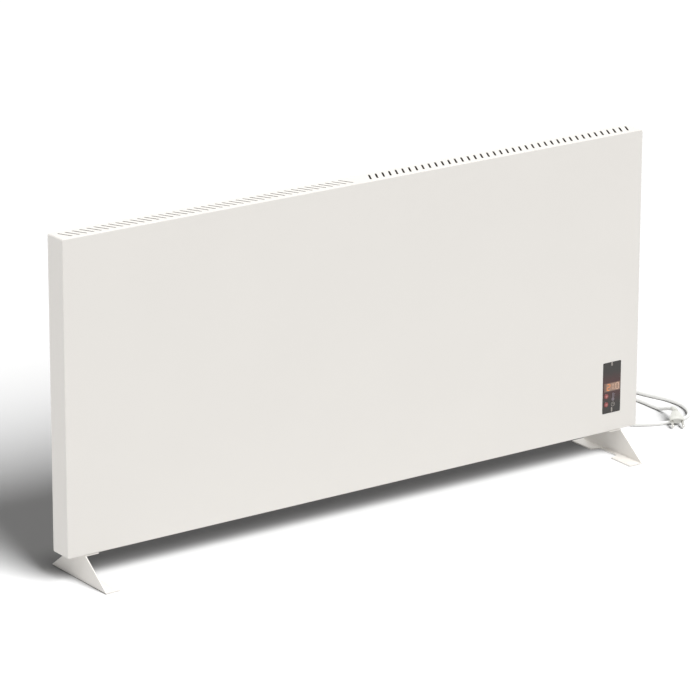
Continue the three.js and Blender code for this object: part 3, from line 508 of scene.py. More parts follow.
@dataclass(frozen=True)
class SmokedPlate:
    """Glossy smoked plastic over a dark brown back, redder where the lit display shines into it."""

    name: str = "smoked plate"
    tone: Colour = (0.034, 0.030, 0.027)
    lit: Colour = (0.066, 0.026, 0.025)
    roughness: float = 0.13
    coat: Pair = (0.1, 0.06)
    display_height: float = 0.1333
    reach: float = 0.026
    clouds: Pattern = Pattern(70.0)
    wander: float = 0.010
    specks: Pattern = Pattern(1800.0)
    speck_step: Pair = (0.72, 0.1)
    dust: float = 0.12
    relief: Pattern = Pattern(30.0, 1.0, 0.00003)

    def make(self) -> bpy.types.Material:
        """Makes the material.

        Returns:
            The material.
        """
        plate = Recipe(self.name, self.tone, self.roughness, coat=self.coat)
        _, _, z = plate.parts()
        away = abs(z - self.display_height) + plate.pattern(self.clouds) * self.wander
        near = 1.0 - away.above(self.reach, self.reach)
        plate.give("Base Color", plate.mix(near, self.tone, self.lit))
        specks = plate.pattern(self.specks).above(*self.speck_step)
        plate.give("Roughness", specks * self.dust + self.roughness)
        return plate.bump(self.relief).material


@dataclass(frozen=True)
class KeyPlastic:
    """Glossy red plastic, paler and glowing in the middle of the cap: a painted highlight with a
    painted glow.
    """

    name: str = "key red"
    tone: Colour = (0.17, 0.034, 0.030)
    # pale is the painted highlight's colour; dim_light and light are the painted glow at the rim
    # and in the middle.
    pale: Colour = (0.34, 0.085, 0.08)
    dim_light: Colour = (0.02, 0.001, 0.001)
    light: Colour = (0.16, 0.022, 0.02)
    strength: float = 0.25
    roughness: float = 0.24
    coat: Pair = (0.4, 0.08)
    middle: Point = (0.530, 0.0, 0.1173)
    reach: float = 0.0032
    softness: float = 0.00416
    relief: Pattern = Pattern(900.0, 2.0, 0.000008)

    def make(self) -> bpy.types.Material:
        """Makes the material.

        Returns:
            The material.
        """
        red = Recipe(self.name, self.tone, self.roughness, coat=self.coat)
        x, _, z = red.parts()
        away = ((x - self.middle[0]) ** 2.0 + (z - self.middle[2]) ** 2.0) ** 0.5
        # The middle of the cap gets a painted highlight in its colour and a painted glow.
        lamp = 1.0 - away.above(self.reach, self.softness)
        red.give("Base Color", red.mix(lamp, self.tone, self.pale))
        red.glow(red.mix(lamp, self.dim_light, self.light), self.strength)
        return red.bump(self.relief).material


@dataclass(frozen=True)
class DisplayPlate:
    """The lit display, seen through the smoked plate: amber tan, darker at its left and edges."""

    name: str = "display amber"
    dim: Colour = (0.155, 0.085, 0.062)
    tone: Colour = (0.30, 0.185, 0.130)
    dim_light: Colour = (0.02, 0.01, 0.006)
    light: Colour = (0.17, 0.095, 0.055)
    strength: float = 0.3
    roughness: float = 0.18
    coat: Pair = (0.5, 0.06)
    left: float = 0.5295
    right: float = 0.5598
    low: float = 0.1267
    high: float = 0.1403
    edge: float = 0.002
    left_edge: float = 0.006
    clouds: Pattern = Pattern(260.0)
    clouded: Pair = (0.3, 0.82)
    relief: Pattern = Pattern(1400.0, 1.0, 0.000004)

    def make(self) -> bpy.types.Material:
        """Makes the material.

        Returns:
            The material.
        """
        lens = Recipe(self.name, self.tone, self.roughness, coat=self.coat)
        x, _, z = lens.parts()
        inside = (1.0 - x.above(self.right, self.edge)) * z.above(self.low, self.edge)
        lit = x.above(self.left, self.left_edge) * inside * (1.0 - z.above(self.high, self.edge))
        lit = lit * (lens.pattern(self.clouds) * self.clouded[0] + self.clouded[1])
        lens.give("Base Color", lens.mix(lit, self.dim, self.tone))
        lens.glow(lens.mix(lit, self.dim_light, self.light), self.strength)
        return lens.bump(self.relief).material


@dataclass(frozen=True)
class LitSegment:
    """A diode segment of the display, with brighter spots."""

    name: str
    tone: Colour
    strength: float
    roughness: float = 0.3
    brighter: float = 1.25
    clouds: Pattern = Pattern(700.0)
    step: Pair = (0.45, 0.5)

    def make(self) -> bpy.types.Material:
        """Makes the material.

        Returns:
            The material.
        """
        lamp = Recipe(self.name, self.tone, self.roughness)
        bright = tuple(part * self.brighter for part in self.tone)
        spots = lamp.mix(lamp.pattern(self.clouds).above(*self.step), self.tone, bright)
        lamp.give("Base Color", spots)
        lamp.glow(spots, self.strength)
        return lamp.material


@dataclass(frozen=True)
class SolderResist:
    """Green solder resist with copper tracks under it."""

    name: str = "solder resist"
    tone: Colour = (0.035, 0.150, 0.065)
    track: Colour = (0.060, 0.225, 0.100)
    roughness: float = 0.35
    coat: Pair = (0.3, 0.15)
    tracks: Pattern = Pattern(120.0, 0.0, 0.00003, Lines.TRACKS)
    track_step: Pair = (0.55, 0.04)

    def make(self) -> bpy.types.Material:
        """Makes the material.

        Returns:
            The material.
        """
        board = Recipe(self.name, self.tone, self.roughness, coat=self.coat)
        tracks = board.pattern(self.tracks).above(*self.track_step)
        board.give("Base Color", board.mix(tracks, self.tone, self.track))
        return board.raise_by(tracks, self.tracks.depth).material


class Dresser:
    """Gives finished pieces their finish, and sets them on their bodies."""

    def __init__(self) -> None:
        """Makes one material for each slot of the record."""
        self.materials = {slot: finish.make() for slot, finish in {
            Slot.ENAMEL: PowderCoat(),
            Slot.STEEL: ZincPlate(),
            Slot.ALUMINIUM: DrawnAluminium(),
            Slot.CERAMIC: FiredCeramic(),
            Slot.DARK_GLOSS: SmokedPlate(),
            Slot.RED_PLASTIC: KeyPlastic(),
            Slot.DISPLAY: DisplayPlate(),
            Slot.BLACK_PLASTIC: MouldedPlastic(),
            Slot.BOARD: SolderResist(),
            Slot.WHITE_CORD: CordSheath(),
            Slot.NICKEL: BrightNickel(),
            Slot.BROWN_WIRE: Insulation("brown insulation", (0.15, 0.06, 0.03)),
            Slot.BLUE_WIRE: Insulation("blue insulation", (0.03, 0.12, 0.40)),
            Slot.EARTH_WIRE: Insulation("earth insulation", (0.10, 0.30, 0.05), (0.55, 0.50, 0.05),
                                        swing=0.0, clouds=Pattern(38.0, 0.0), step=(0.5, 0.05)),
        }.items()}

    def fit(self, piece: bpy.types.Object, slot: Slot, *stands_for: str, body: Body = Body.HEATER,
            material: bpy.types.Material | None = None) -> bpy.types.Object:
        """Dresses a piece and sets it on its body.

        Args:
            piece: The finished piece.
            slot: The record's slot that it takes its finish from.
            *stands_for: The CAD nodes that it replaces.
            body: The body that it rides on.
            material: Its own material, if the slot's isn't right.

        Returns:
            The same piece.
        """
        piece.data.materials.append(material or self.materials[slot])
        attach(piece, body.value)
        if stands_for:
            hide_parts(*stands_for)
        log.info("%s rides on %s", piece.name, body.value)
        return piece


# ---------------------------------------------------------------- the modelling bench


class Bench:
    """The operators that new pieces are modelled with. One piece is on the bench at a time."""

    def __init__(self, name: str) -> None:
        """Clears the bench for a piece of that name."""
        self.name = name
        self.piece: bpy.types.Object | None = None
        self.radius = 0.0
        bpy.ops.object.select_all(action="DESELECT")

    def adopt(self) -> "Bench":
        """Takes the object that an operator has just made, all selected in edit mode.

        Returns:
            The same bench.
        """
        self.piece = bpy.context.active_object
        self.piece.name = self.piece.data.name = self.name
        bpy.ops.object.mode_set(mode="EDIT")
        bpy.ops.mesh.select_all(action="SELECT")
        return self

    def ring(self, radius: float, sides: int) -> "Bench":
        """Starts from a filled ring round the origin, facing +Z.

        Args:
            radius: Its radius.
            sides: Its corners.

        Returns:
            The same bench.
        """
        self.radius = radius
        bpy.ops.mesh.primitive_circle_add(radius=radius, vertices=sides, fill_type="NGON",
                                          location=(0.0, 0.0, 0.0))
        return self.adopt()

    def slab(self, size: Point, at: Point = (0.0, 0.0, 0.0)) -> "Bench":
        """Starts from a block.

        Args:
            size: Its three sizes.
            at: Its middle.

        Returns:
            The same bench.
        """
        bpy.ops.mesh.primitive_cube_add(size=1.0, location=at)
        bpy.context.active_object.scale = size
        bpy.ops.object.transform_apply(location=True, rotation=False, scale=True)
        return self.adopt()

    def rise(self, height: float, scale: Pair) -> None:
        """Extrudes what is selected along Z, and resizes its end about its middle."""
        bpy.ops.mesh.extrude_region_move(TRANSFORM_OT_translate={"value": (0.0, 0.0, height)})
        bpy.ops.transform.resize(value=(*scale, 1.0))

    def profile(self, steps: Iterable[Pair]) -> "Bench":
        """Raises a turned shape from its first ring.

        Args:
            steps: Each ring's height above the first, and its radius.

        Returns:
            The same bench.
        """
        was, height = self.radius, 0.0
        for level, size in steps:
            self.rise(level - height, (size / was, size / was))
            was, height = size, level
        return self

    def pick(self, wanted: Callable[..., bool], edges: bool = False) -> "Bench":
        """Selects faces or edges in code.

        Args:
            wanted: Says which.
            edges: True for edges.

        Returns:
            The same bench.
        """
        bpy.ops.mesh.select_mode(type="EDGE" if edges else "FACE")
        bpy.ops.mesh.select_all(action="DESELECT")
        mesh = bmesh.from_edit_mesh(self.piece.data)
        for part in mesh.edges if edges else mesh.faces:
            part.select_set(wanted(part))
        bmesh.update_edit_mesh(self.piece.data)
        return self

    def shift(self, edge: float, move: Point) -> None:
        """Insets what is selected by an edge, and moves what lies inside it."""
        bpy.ops.mesh.inset(thickness=edge, depth=0.0)
        bpy.ops.transform.translate(value=move)

    def modifier(self, kind: str, **settings: object) -> "Bench":
        """Adds a modifier and applies it.

        Args:
            kind: Its type.
            **settings: Its settings.

        Returns:
            The same bench.
        """
        bpy.ops.object.mode_set(mode="OBJECT")
        added = self.piece.modifiers.new(kind.title(), kind)
        for key, value in settings.items():
            setattr(added, key, value)
        bpy.ops.object.modifier_apply(modifier=added.name)
        bpy.ops.object.mode_set(mode="EDIT")
        return self

    def done(self, place: Matrix | None = None, smooth: float | None = 50.0) -> bpy.types.Object:
        """Takes the piece off the bench, with its place in its mesh.

        Args:
            place: Where it goes.
            smooth: The angle under which its edges are shaded smooth, in degrees.

        Returns:
            The finished piece.
        """
        bpy.ops.mesh.select_all(action="SELECT")
        bpy.ops.mesh.remove_doubles(threshold=1e-6)
        bpy.ops.mesh.normals_make_consistent(inside=False)
        bpy.ops.object.mode_set(mode="OBJECT")
        if place:
            self.piece.matrix_world = place @ self.piece.matrix_world
        bpy.ops.object.transform_apply(location=True, rotation=True, scale=True)
        if smooth is not None:
            bpy.ops.object.shade_smooth_by_angle(angle=math.radians(smooth))
        self.piece.select_set(False)
        return self.piece


def turned(degrees: float, axis: str, at: Point | Vector = (0.0, 0.0, 0.0)) -> Matrix:
    """A turn about an axis, and then a move."""
    return Matrix.Translation(at) @ Matrix.Rotation(math.radians(degrees), 4, axis)


def joined(name: str, pieces: list[bpy.types.Object]) -> bpy.types.Object:
    """Joins finished pieces into one.

    Args:
        name: The new piece's name.
        pieces: What it is made of.

    Returns:
        The one piece.
    """
    bpy.ops.object.select_all(action="DESELECT")
    for piece in pieces:
        piece.select_set(True)
    whole = bpy.context.view_layer.objects.active = pieces[0]
    if len(pieces) > 1:
        bpy.ops.object.join()
    whole.name = whole.data.name = name
    whole.select_set(False)
    return whole


# ---------------------------------------------------------------- view


@dataclass
class Viewpoint:
    """The camera, at the photograph's angle and distance."""

    place: Point = (-4.146214, -5.832966, 2.614931)
    right: Point = (0.8165589, -0.577256, 0.00265839)
    up: Point = (0.17584144, 0.25311798, 0.9513207)
    back: Point = (-0.54982847, -0.77634193, 0.30819127)
    lens: float = 226.048
    sensor: float = 36.0
    sight: float = 200.0

    def build(self) -> None:
        """Sets the camera up."""
        data = bpy.data.cameras.new("view")
        data.lens = self.lens
        data.sensor_width = self.sensor
        data.clip_end = self.sight
        camera = bpy.data.objects.new("view", data)
        bpy.context.scene.collection.objects.link(camera)
        turn = Matrix((self.right, self.up, self.back)).transposed()
        camera.matrix_world = Matrix.Translation(self.place) @ turn.to_4x4()
        bpy.context.scene.camera = camera


# ---------------------------------------------------------------- mains lead


@dataclass
class Plug:
    """The moulded plug: a ribbed body, its bend relief and two pins, made with its pins along +Z.

    Each station of the body is its distance behind the face, and half its width and thickness. A
    facing is the least part of a face's normal that counts it to a side. The sleeve's ring_shares
    say where in its pitch a ring ends, its groove starts and its groove ends. The pins' tip steps
    are shares of the radius: the distance before the end, and the radius there.
    """

    face: Point = (0.750, 0.042, 0.0098)
    aim: Point = (-0.5, -0.812, -0.28)
    length: float = 0.030
    gap: float = 0.0003
    stations: tuple[Point, ...] = (
        (0.000, 0.0118, 0.0053), (0.0012, 0.0130, 0.0063), (0.0045, 0.0135, 0.00672),
        (0.0090, 0.0134, 0.0067), (0.0130, 0.0124, 0.0063), (0.0165, 0.0111, 0.0059),
        (0.0200, 0.0099, 0.0055), (0.0240, 0.0087, 0.0049), (0.0275, 0.0078, 0.0043),
        (0.0292, 0.0073, 0.0039), (0.0300, 0.0066, 0.0034),
    )
    sides: int = 32
    round_sides: int = 24
    face_facing: float = 0.9
    face_rim: float = 0.0022
    face_sink: float = 0.0004
    rib_facing: float = 0.75
    rib_reach: float = 0.0021
    rib_ends: Pair = (0.004, 0.0265)
    rib_edge: float = 0.0003
    relief_depth: float = 0.00045
    ridges: int = 5
    ridge_pitch: float = 0.0021
    ridge_facing: float = 0.4
    ridge_reach: Pair = (0.0026, 0.0085)
    ridge_edge: float = 0.00012
    grip_start: float = 0.0098
    grip_margin: float = 0.0004
    sleeve_length: float = 0.020
    sleeve_root: float = 0.0056
    sleeve_tip: float = 0.0045
    sleeve_bend: float = 38.0
    sleeve_lean: float = 22.0
    sleeve_rings: int = 5
    ring_lip: float = 0.0001
    ring_depth: float = 0.0006
    ring_round: float = 0.0002
    ring_angle: float = 50.0
    ring_shares: Point = (0.5, 0.56, 0.94)
    pin_radius: float = 0.0024
    pin_length: float = 0.019
    pin_spacing: float = 0.019
    pin_start: float = 0.97
    pin_shoulder: Pair = (0.0012, 0.0013)
    pin_tip: tuple[Pair, ...] = ((0.62, 1.0), (0.34, 0.9), (0.14, 0.7), (0.03, 0.4), (0.0, 0.12))

    def frame(self, back: float = 0.0) -> Matrix:
        """The plug's own frame, moved back along its axis.

        Args:
            back: How far back.

        Returns:
            X across the pins, Y through its thickness and Z along the pins.
        """
        aim = Vector(self.aim).normalized()
        across = Vector((aim.y, -aim.x, 0.0)).normalized()
        turn = Matrix((across, aim.cross(across), aim)).transposed().to_4x4()
        return Matrix.Translation(Vector(self.face) - aim * back) @ turn

    def in_sleeve(self, along: float, x: float = 0.0, y: float = 0.0) -> Vector:
        """A point of the relief's sleeve, which bends to the floor with the lead.

        Args:
            along: How far along its middle line, from the body's tail.
            x: How far off that line, across the pins.
            y: How far off it, through the plug's thickness.

        Returns:
            The point, in the heater's frame.
        """
        bend, lean = math.radians(self.sleeve_bend), math.radians(self.sleeve_lean)
        radius = self.sleeve_length / bend
        angle = min(along / radius, bend)
        back, side = Vector((0.0, 0.0, -1.0)), Vector((math.sin(lean), math.cos(lean), 0.0))
        point = Vector((x, y, 0.0)) + back * (along - radius * angle)
        point.rotate(Matrix.Rotation(angle, 3, back.cross(side)))
        point += back * (self.length + self.gap + radius * math.sin(angle))
        return self.frame() @ (point + side * radius * (1 - math.cos(angle)))

    def rows(self) -> list[Point]:
        """The body's rings, with finer ones where the grip ridges are.

        Returns:
            The rings, from the face to the tail.
        """
        fine = []
        for row in range(2 * self.ridges + 1):
            at = self.grip_start + row * self.ridge_pitch / 2
            for before, after in zip(self.stations, self.stations[1:]):
                if before[0] <= at < after[0]:
                    part = (at - before[0]) / (after[0] - before[0])
                    fine.append(tuple(b + (a - b) * part for b, a in zip(before, after)))
        low, high = fine[0][0] - self.grip_margin, fine[-1][0] + self.grip_margin
        return sorted([row for row in self.stations if not low < row[0] < high] + fine)

    def on_rib(self, face: bmesh.types.BMFace, side: float) -> bool:
        """True for a face in the middle of a broad side, where its rib is."""
        middle = face.calc_center_median()
        return (face.normal.y * side > self.rib_facing and abs(middle.x) < self.rib_reach
                and self.rib_ends[0] < middle.z < self.rib_ends[1])

    def in_groove(self, face: bmesh.types.BMFace, side: float) -> bool:
        """True for a face of a groove between the grip ridges of a broad side.

        Args:
            face: The face.
            side: One or minus one, for the side.

        Returns:
            Whether it is one.
        """
        middle = face.calc_center_median()
        row = (self.length - middle.z - self.grip_start) / self.ridge_pitch
        beside = self.ridge_reach[0] < abs(middle.x) < self.ridge_reach[1]
        return (face.normal.y * side > self.ridge_facing and beside
                and 0.0 < row < self.ridges and row % 1.0 < 0.5)

    def moulding(self) -> bpy.types.Object:
        """Raises the body in rings, with a rib and grip ridges on both of its broad sides.

        Returns:
            The body.
        """
        bench = Bench("plug_moulding").ring(1.0, self.sides)
        rings = self.rows()[::-1]
        bpy.ops.transform.resize(value=(*rings[0][1:], 1.0))
        for was, ring in zip(rings, rings[1:]):
            bench.rise(was[0] - ring[0], (ring[1] / was[1], ring[2] / was[2]))
        bench.pick(lambda f: (f.normal.z > self.face_facing
                              and f.calc_center_median().z > self.length - self.face_sink))
        bpy.ops.mesh.inset(thickness=self.face_rim, depth=0.0)
        bpy.ops.mesh.inset(thickness=self.face_sink, depth=-self.face_sink)
        for wanted, edge, rise in ((self.on_rib, self.rib_edge, self.relief_depth),
                                   (self.in_groove, self.ridge_edge, -self.relief_depth)):
            for side in (1.0, -1.0):
                bench.pick(lambda f: wanted(f, side)).shift(edge, (0.0, rise * side, 0.0))
        bench.modifier("SUBSURF", levels=1, render_levels=1)
        return bench.done(self.frame(self.length))

    def sleeve(self) -> bpy.types.Object:
        """Turns the bend relief, rings joined by a thinner core, and bends it to the floor.

        Returns:
            The relief.
        """
        bench = Bench("plug_relief").ring(self.sleeve_tip, self.round_sides)
        ring_end, groove, groove_end = self.ring_shares
        pitch = self.sleeve_length / (self.sleeve_rings + ring_end)
        steps = []
        for low in (i * pitch for i in range(self.sleeve_rings)):
            radius = self.sleeve_tip
            radius += (self.sleeve_root - self.sleeve_tip) * (low / self.sleeve_length)
            outer, inner = radius + self.ring_lip, radius - self.ring_depth
            steps += [(low + pitch * ring_end, outer), (low + pitch * groove, inner),
                      (low + pitch * groove_end, inner), (low + pitch, outer)]
        bench.profile([*steps, (self.sleeve_length, self.sleeve_root)])
        bench.modifier("BEVEL", width=self.ring_round, segments=1, limit_method="ANGLE",
                       angle_limit=math.radians(self.ring_angle))
        sleeve = bench.done()
        for vertex in sleeve.data.vertices:
            x, y, z = vertex.co
            vertex.co = self.in_sleeve(self.sleeve_length - z, x, y)
        return sleeve

    def pin(self, name: str, x: float) -> bpy.types.Object:
        """One pin, turned, with a rounded tip and a shoulder in the face.

        Args:
            name: Its name.
            x: Its place across the plug.

        Returns:
            The pin.
        """
        r, end = self.pin_radius, self.pin_length - self.gap
        bench = Bench(name).ring(r * self.pin_start, self.round_sides)
        bench.profile([(self.pin_shoulder[0], r * self.pin_start), (self.pin_shoulder[1], r),
                       *((end - r * before, r * share) for before, share in self.pin_tip)])
        return bench.done(self.frame() @ Matrix.Translation((x, 0.0, self.gap)), 40.0)

    def build(self, dresser: Dresser) -> list[bpy.types.Object]:
        """Makes the plug.

        Args:
            dresser: Gives it its finishes.

        Returns:
            Its pieces.
        """
        grain = (Pattern(2200.0, depth=0.00001, cells=True),)
        white = MouldedPlastic("plug moulding", (0.70, 0.70, 0.655), roughness=0.42,
                               relief=grain).make()
        body, sleeve = self.moulding(), self.sleeve()
        left = self.pin("pin_left", -self.pin_spacing / 2)
        right = self.pin("pin_right", self.pin_spacing / 2)
        return [
            dresser.fit(body, Slot.WHITE_CORD, "plug_body", material=white),
            dresser.fit(sleeve, Slot.WHITE_CORD, "plug_boot", material=white),
            dresser.fit(left, Slot.NICKEL, "plug_pin_left"),
            dresser.fit(right, Slot.NICKEL, "plug_pin_right"),
        ]


@dataclass
class LeadRelief:
    """The bushing that holds the lead in the rear panel, with its tapered sleeve.

    Each step of the bushing is its distance behind the inner end, and its radius.
    """

    x: float = 0.470
    z: float = 0.104
    inner_end: float = 0.0143
    bushing: tuple[Pair, ...] = (
        (0.0026, 0.0062), (0.0027, 0.0080), (0.0067, 0.0080), (0.0068, 0.0062), (0.0085, 0.0062),
        (0.0086, 0.0091), (0.0088, 0.0095), (0.0111, 0.0095), (0.0115, 0.0090), (0.0116, 0.0070),
    )
    sleeve_start: float = 0.0116
    sleeve_length: float = 0.0319
    root: float = 0.0070
    tip: float = 0.0048
    rings: int = 7
    first_ring: float = 0.0015
    ring_depth: float = 0.0009
    ring_width: float = 0.42
    ring_edge: float = 0.0002
    end_round: Pair = (0.0004, 0.0005)
    sides: int = 28

    def build(self, dresser: Dresser) -> bpy.types.Object:
        """Makes the bushing.

        Args:
            dresser: Gives it its finish.

        Returns:
            The piece.
        """
        steps = list(self.bushing)
        pitch = (self.sleeve_length - 2 * self.first_ring) / self.rings
        for low in (self.first_ring + i * pitch for i in range(self.rings)):
            outer = self.root + (self.tip - self.root) * (low / self.sleeve_length)
            start, inner = self.sleeve_start + low, outer - self.ring_depth
            end = start + pitch * self.ring_width
            steps += [(start, outer), (start + self.ring_edge, inner), (end, inner),
                      (end + self.ring_edge, outer)]
        end = self.sleeve_start + self.sleeve_length
        steps += [(end - self.end_round[0], self.tip), (end, self.tip - self.end_round[1])]
        bench = Bench("lead_relief").ring(self.bushing[0][1], self.sides).profile(steps)
        piece = bench.done(turned(-90.0, "X", (self.x, self.inner_end, self.z)), 40.0)
        return dresser.fit(piece, Slot.WHITE_CORD, "cord_gland")


@dataclass
class MainsLead:
    """The free lead, from its relief at the rear panel to the plug on the floor."""

    diameter: float = 0.007
    steps: int = 7
    route: tuple[Point, ...] = (
        (0.470, 0.0581, 0.104), (0.470, 0.076, 0.1035), (0.470, 0.098, 0.095),
        (0.471, 0.117, 0.073), (0.473, 0.131, 0.044), (0.475, 0.151, 0.018),
        (0.480, 0.178, 0.0054), (0.490, 0.212, 0.0038), (0.508, 0.256, 0.0038),
        (0.542, 0.292, 0.0038), (0.588, 0.298, 0.0038), (0.624, 0.268, 0.0038),
        (0.640, 0.214, 0.0038), (0.654, 0.148, 0.0038), (0.681, 0.090, 0.0038),
        (0.710, 0.070, 0.0038), (0.740, 0.060, 0.0038), (0.768, 0.057, 0.0038),
        (0.795, 0.066, 0.0038), (0.816, 0.091, 0.0038), (0.827, 0.126, 0.0038),
        (0.825, 0.164, 0.0038), (0.812, 0.206, 0.0038), (0.800, 0.262, 0.0038),
        (0.794, 0.312, 0.0038), (0.786, 0.338, 0.0038), (0.769, 0.357, 0.0038),
        (0.745, 0.364, 0.0038), (0.721, 0.357, 0.0038), (0.705, 0.339, 0.0038),
        (0.701, 0.315, 0.0038), (0.710, 0.287, 0.0038), (0.738, 0.253, 0.0038),
        (0.764, 0.225, 0.0038), (0.7775, 0.196, 0.0038), (0.7795, 0.167, 0.0038),
        (0.779, 0.146, 0.0038), (0.7786, 0.131, 0.0045), (0.7783, 0.118, 0.0071),
        (0.7773, 0.1055, 0.0116),
    )
    straight_end: float = 0.006

    def through(self, plug: Plug) -> list[Vector]:
        """The route's points, with its straight end behind the plug."""
        end = plug.sleeve_length + plug.gap
        return [*map(Vector, self.route), *map(plug.in_sleeve, (end + self.straight_end, end))]

    def smooth(self, points: list[Vector]) -> list[Vector]:
        """Centripetal curve through points.

        Args:
            points: What it goes through.

        Returns:
            The fine points.
        """
        line = []
        for i in range(len(points) - 1):
            p1, p2 = points[i], points[i + 1]
            p0 = points[i - 1] if i else p1 + (p1 - p2)
            p3 = points[i + 2] if i + 2 < len(points) else p2 + (p2 - p1)
            d0, d1, d2 = ((b - a).length ** 0.5 for a, b in ((p0, p1), (p1, p2), (p2, p3)))
            m1 = ((p1 - p0) / d0 - (p2 - p0) / (d0 + d1) + (p2 - p1) / d1) * d1
            m2 = ((p2 - p1) / d1 - (p3 - p1) / (d1 + d2) + (p3 - p2) / d2) * d1
            for t in (k / self.steps for k in range(self.steps)):
                line.append(p1 + m1 * t + (p2 - p1) * 3 * t * t - (m1 * 2 + m2) * t * t
                            + (p1 - p2) * 2 * t ** 3 + (m1 + m2) * t ** 3)
        return line + [points[-1]]

    def build(self, dresser: Dresser) -> None:
        """Makes the lead, with its plug and its relief.

        Args:
            dresser: Gives them their finishes.
        """
        plug = Plug()
        line = self.smooth(self.through(plug))
        curve = bpy.data.curves.new("mains_lead", "CURVE")
        curve.dimensions = "3D"
        curve.bevel_depth = self.diameter / 2
        curve.bevel_resolution = 4
        curve.use_fill_caps = True
        spline = curve.splines.new("POLY")
        spline.points.add(len(line) - 1)
        for point, place in zip(spline.points, line):
            point.co = (*place, 1.0)
        spline.use_smooth = True
        lead = bpy.data.objects.new("mains_lead", curve)
        bpy.context.scene.collection.objects.link(lead)
        dresser.fit(lead, Slot.WHITE_CORD, "power_cord")
        length = sum((b - a).length for a, b in zip(line, line[1:]))
        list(plug.build(dresser))
        LeadRelief().build(dresser)
        log.info("lead of %.3f m", length)


# ---------------------------------------------------------------- control panel


@dataclass(frozen=True)
class Mark:
    """A thin plate with round corners that lies on the faceplate.

    Attributes:
        name: Its name.
        width: Its width.
        height: Its height.
        x: Its middle along the heater.
        z: Its middle above the floor.
        corner: Its corners' radius.
        lift: How far in front of the faceplate its rear face is.
    """

    name: str
    width: float
    height: float
    x: float
    z: float
    corner: float
    lift: float = 0.0


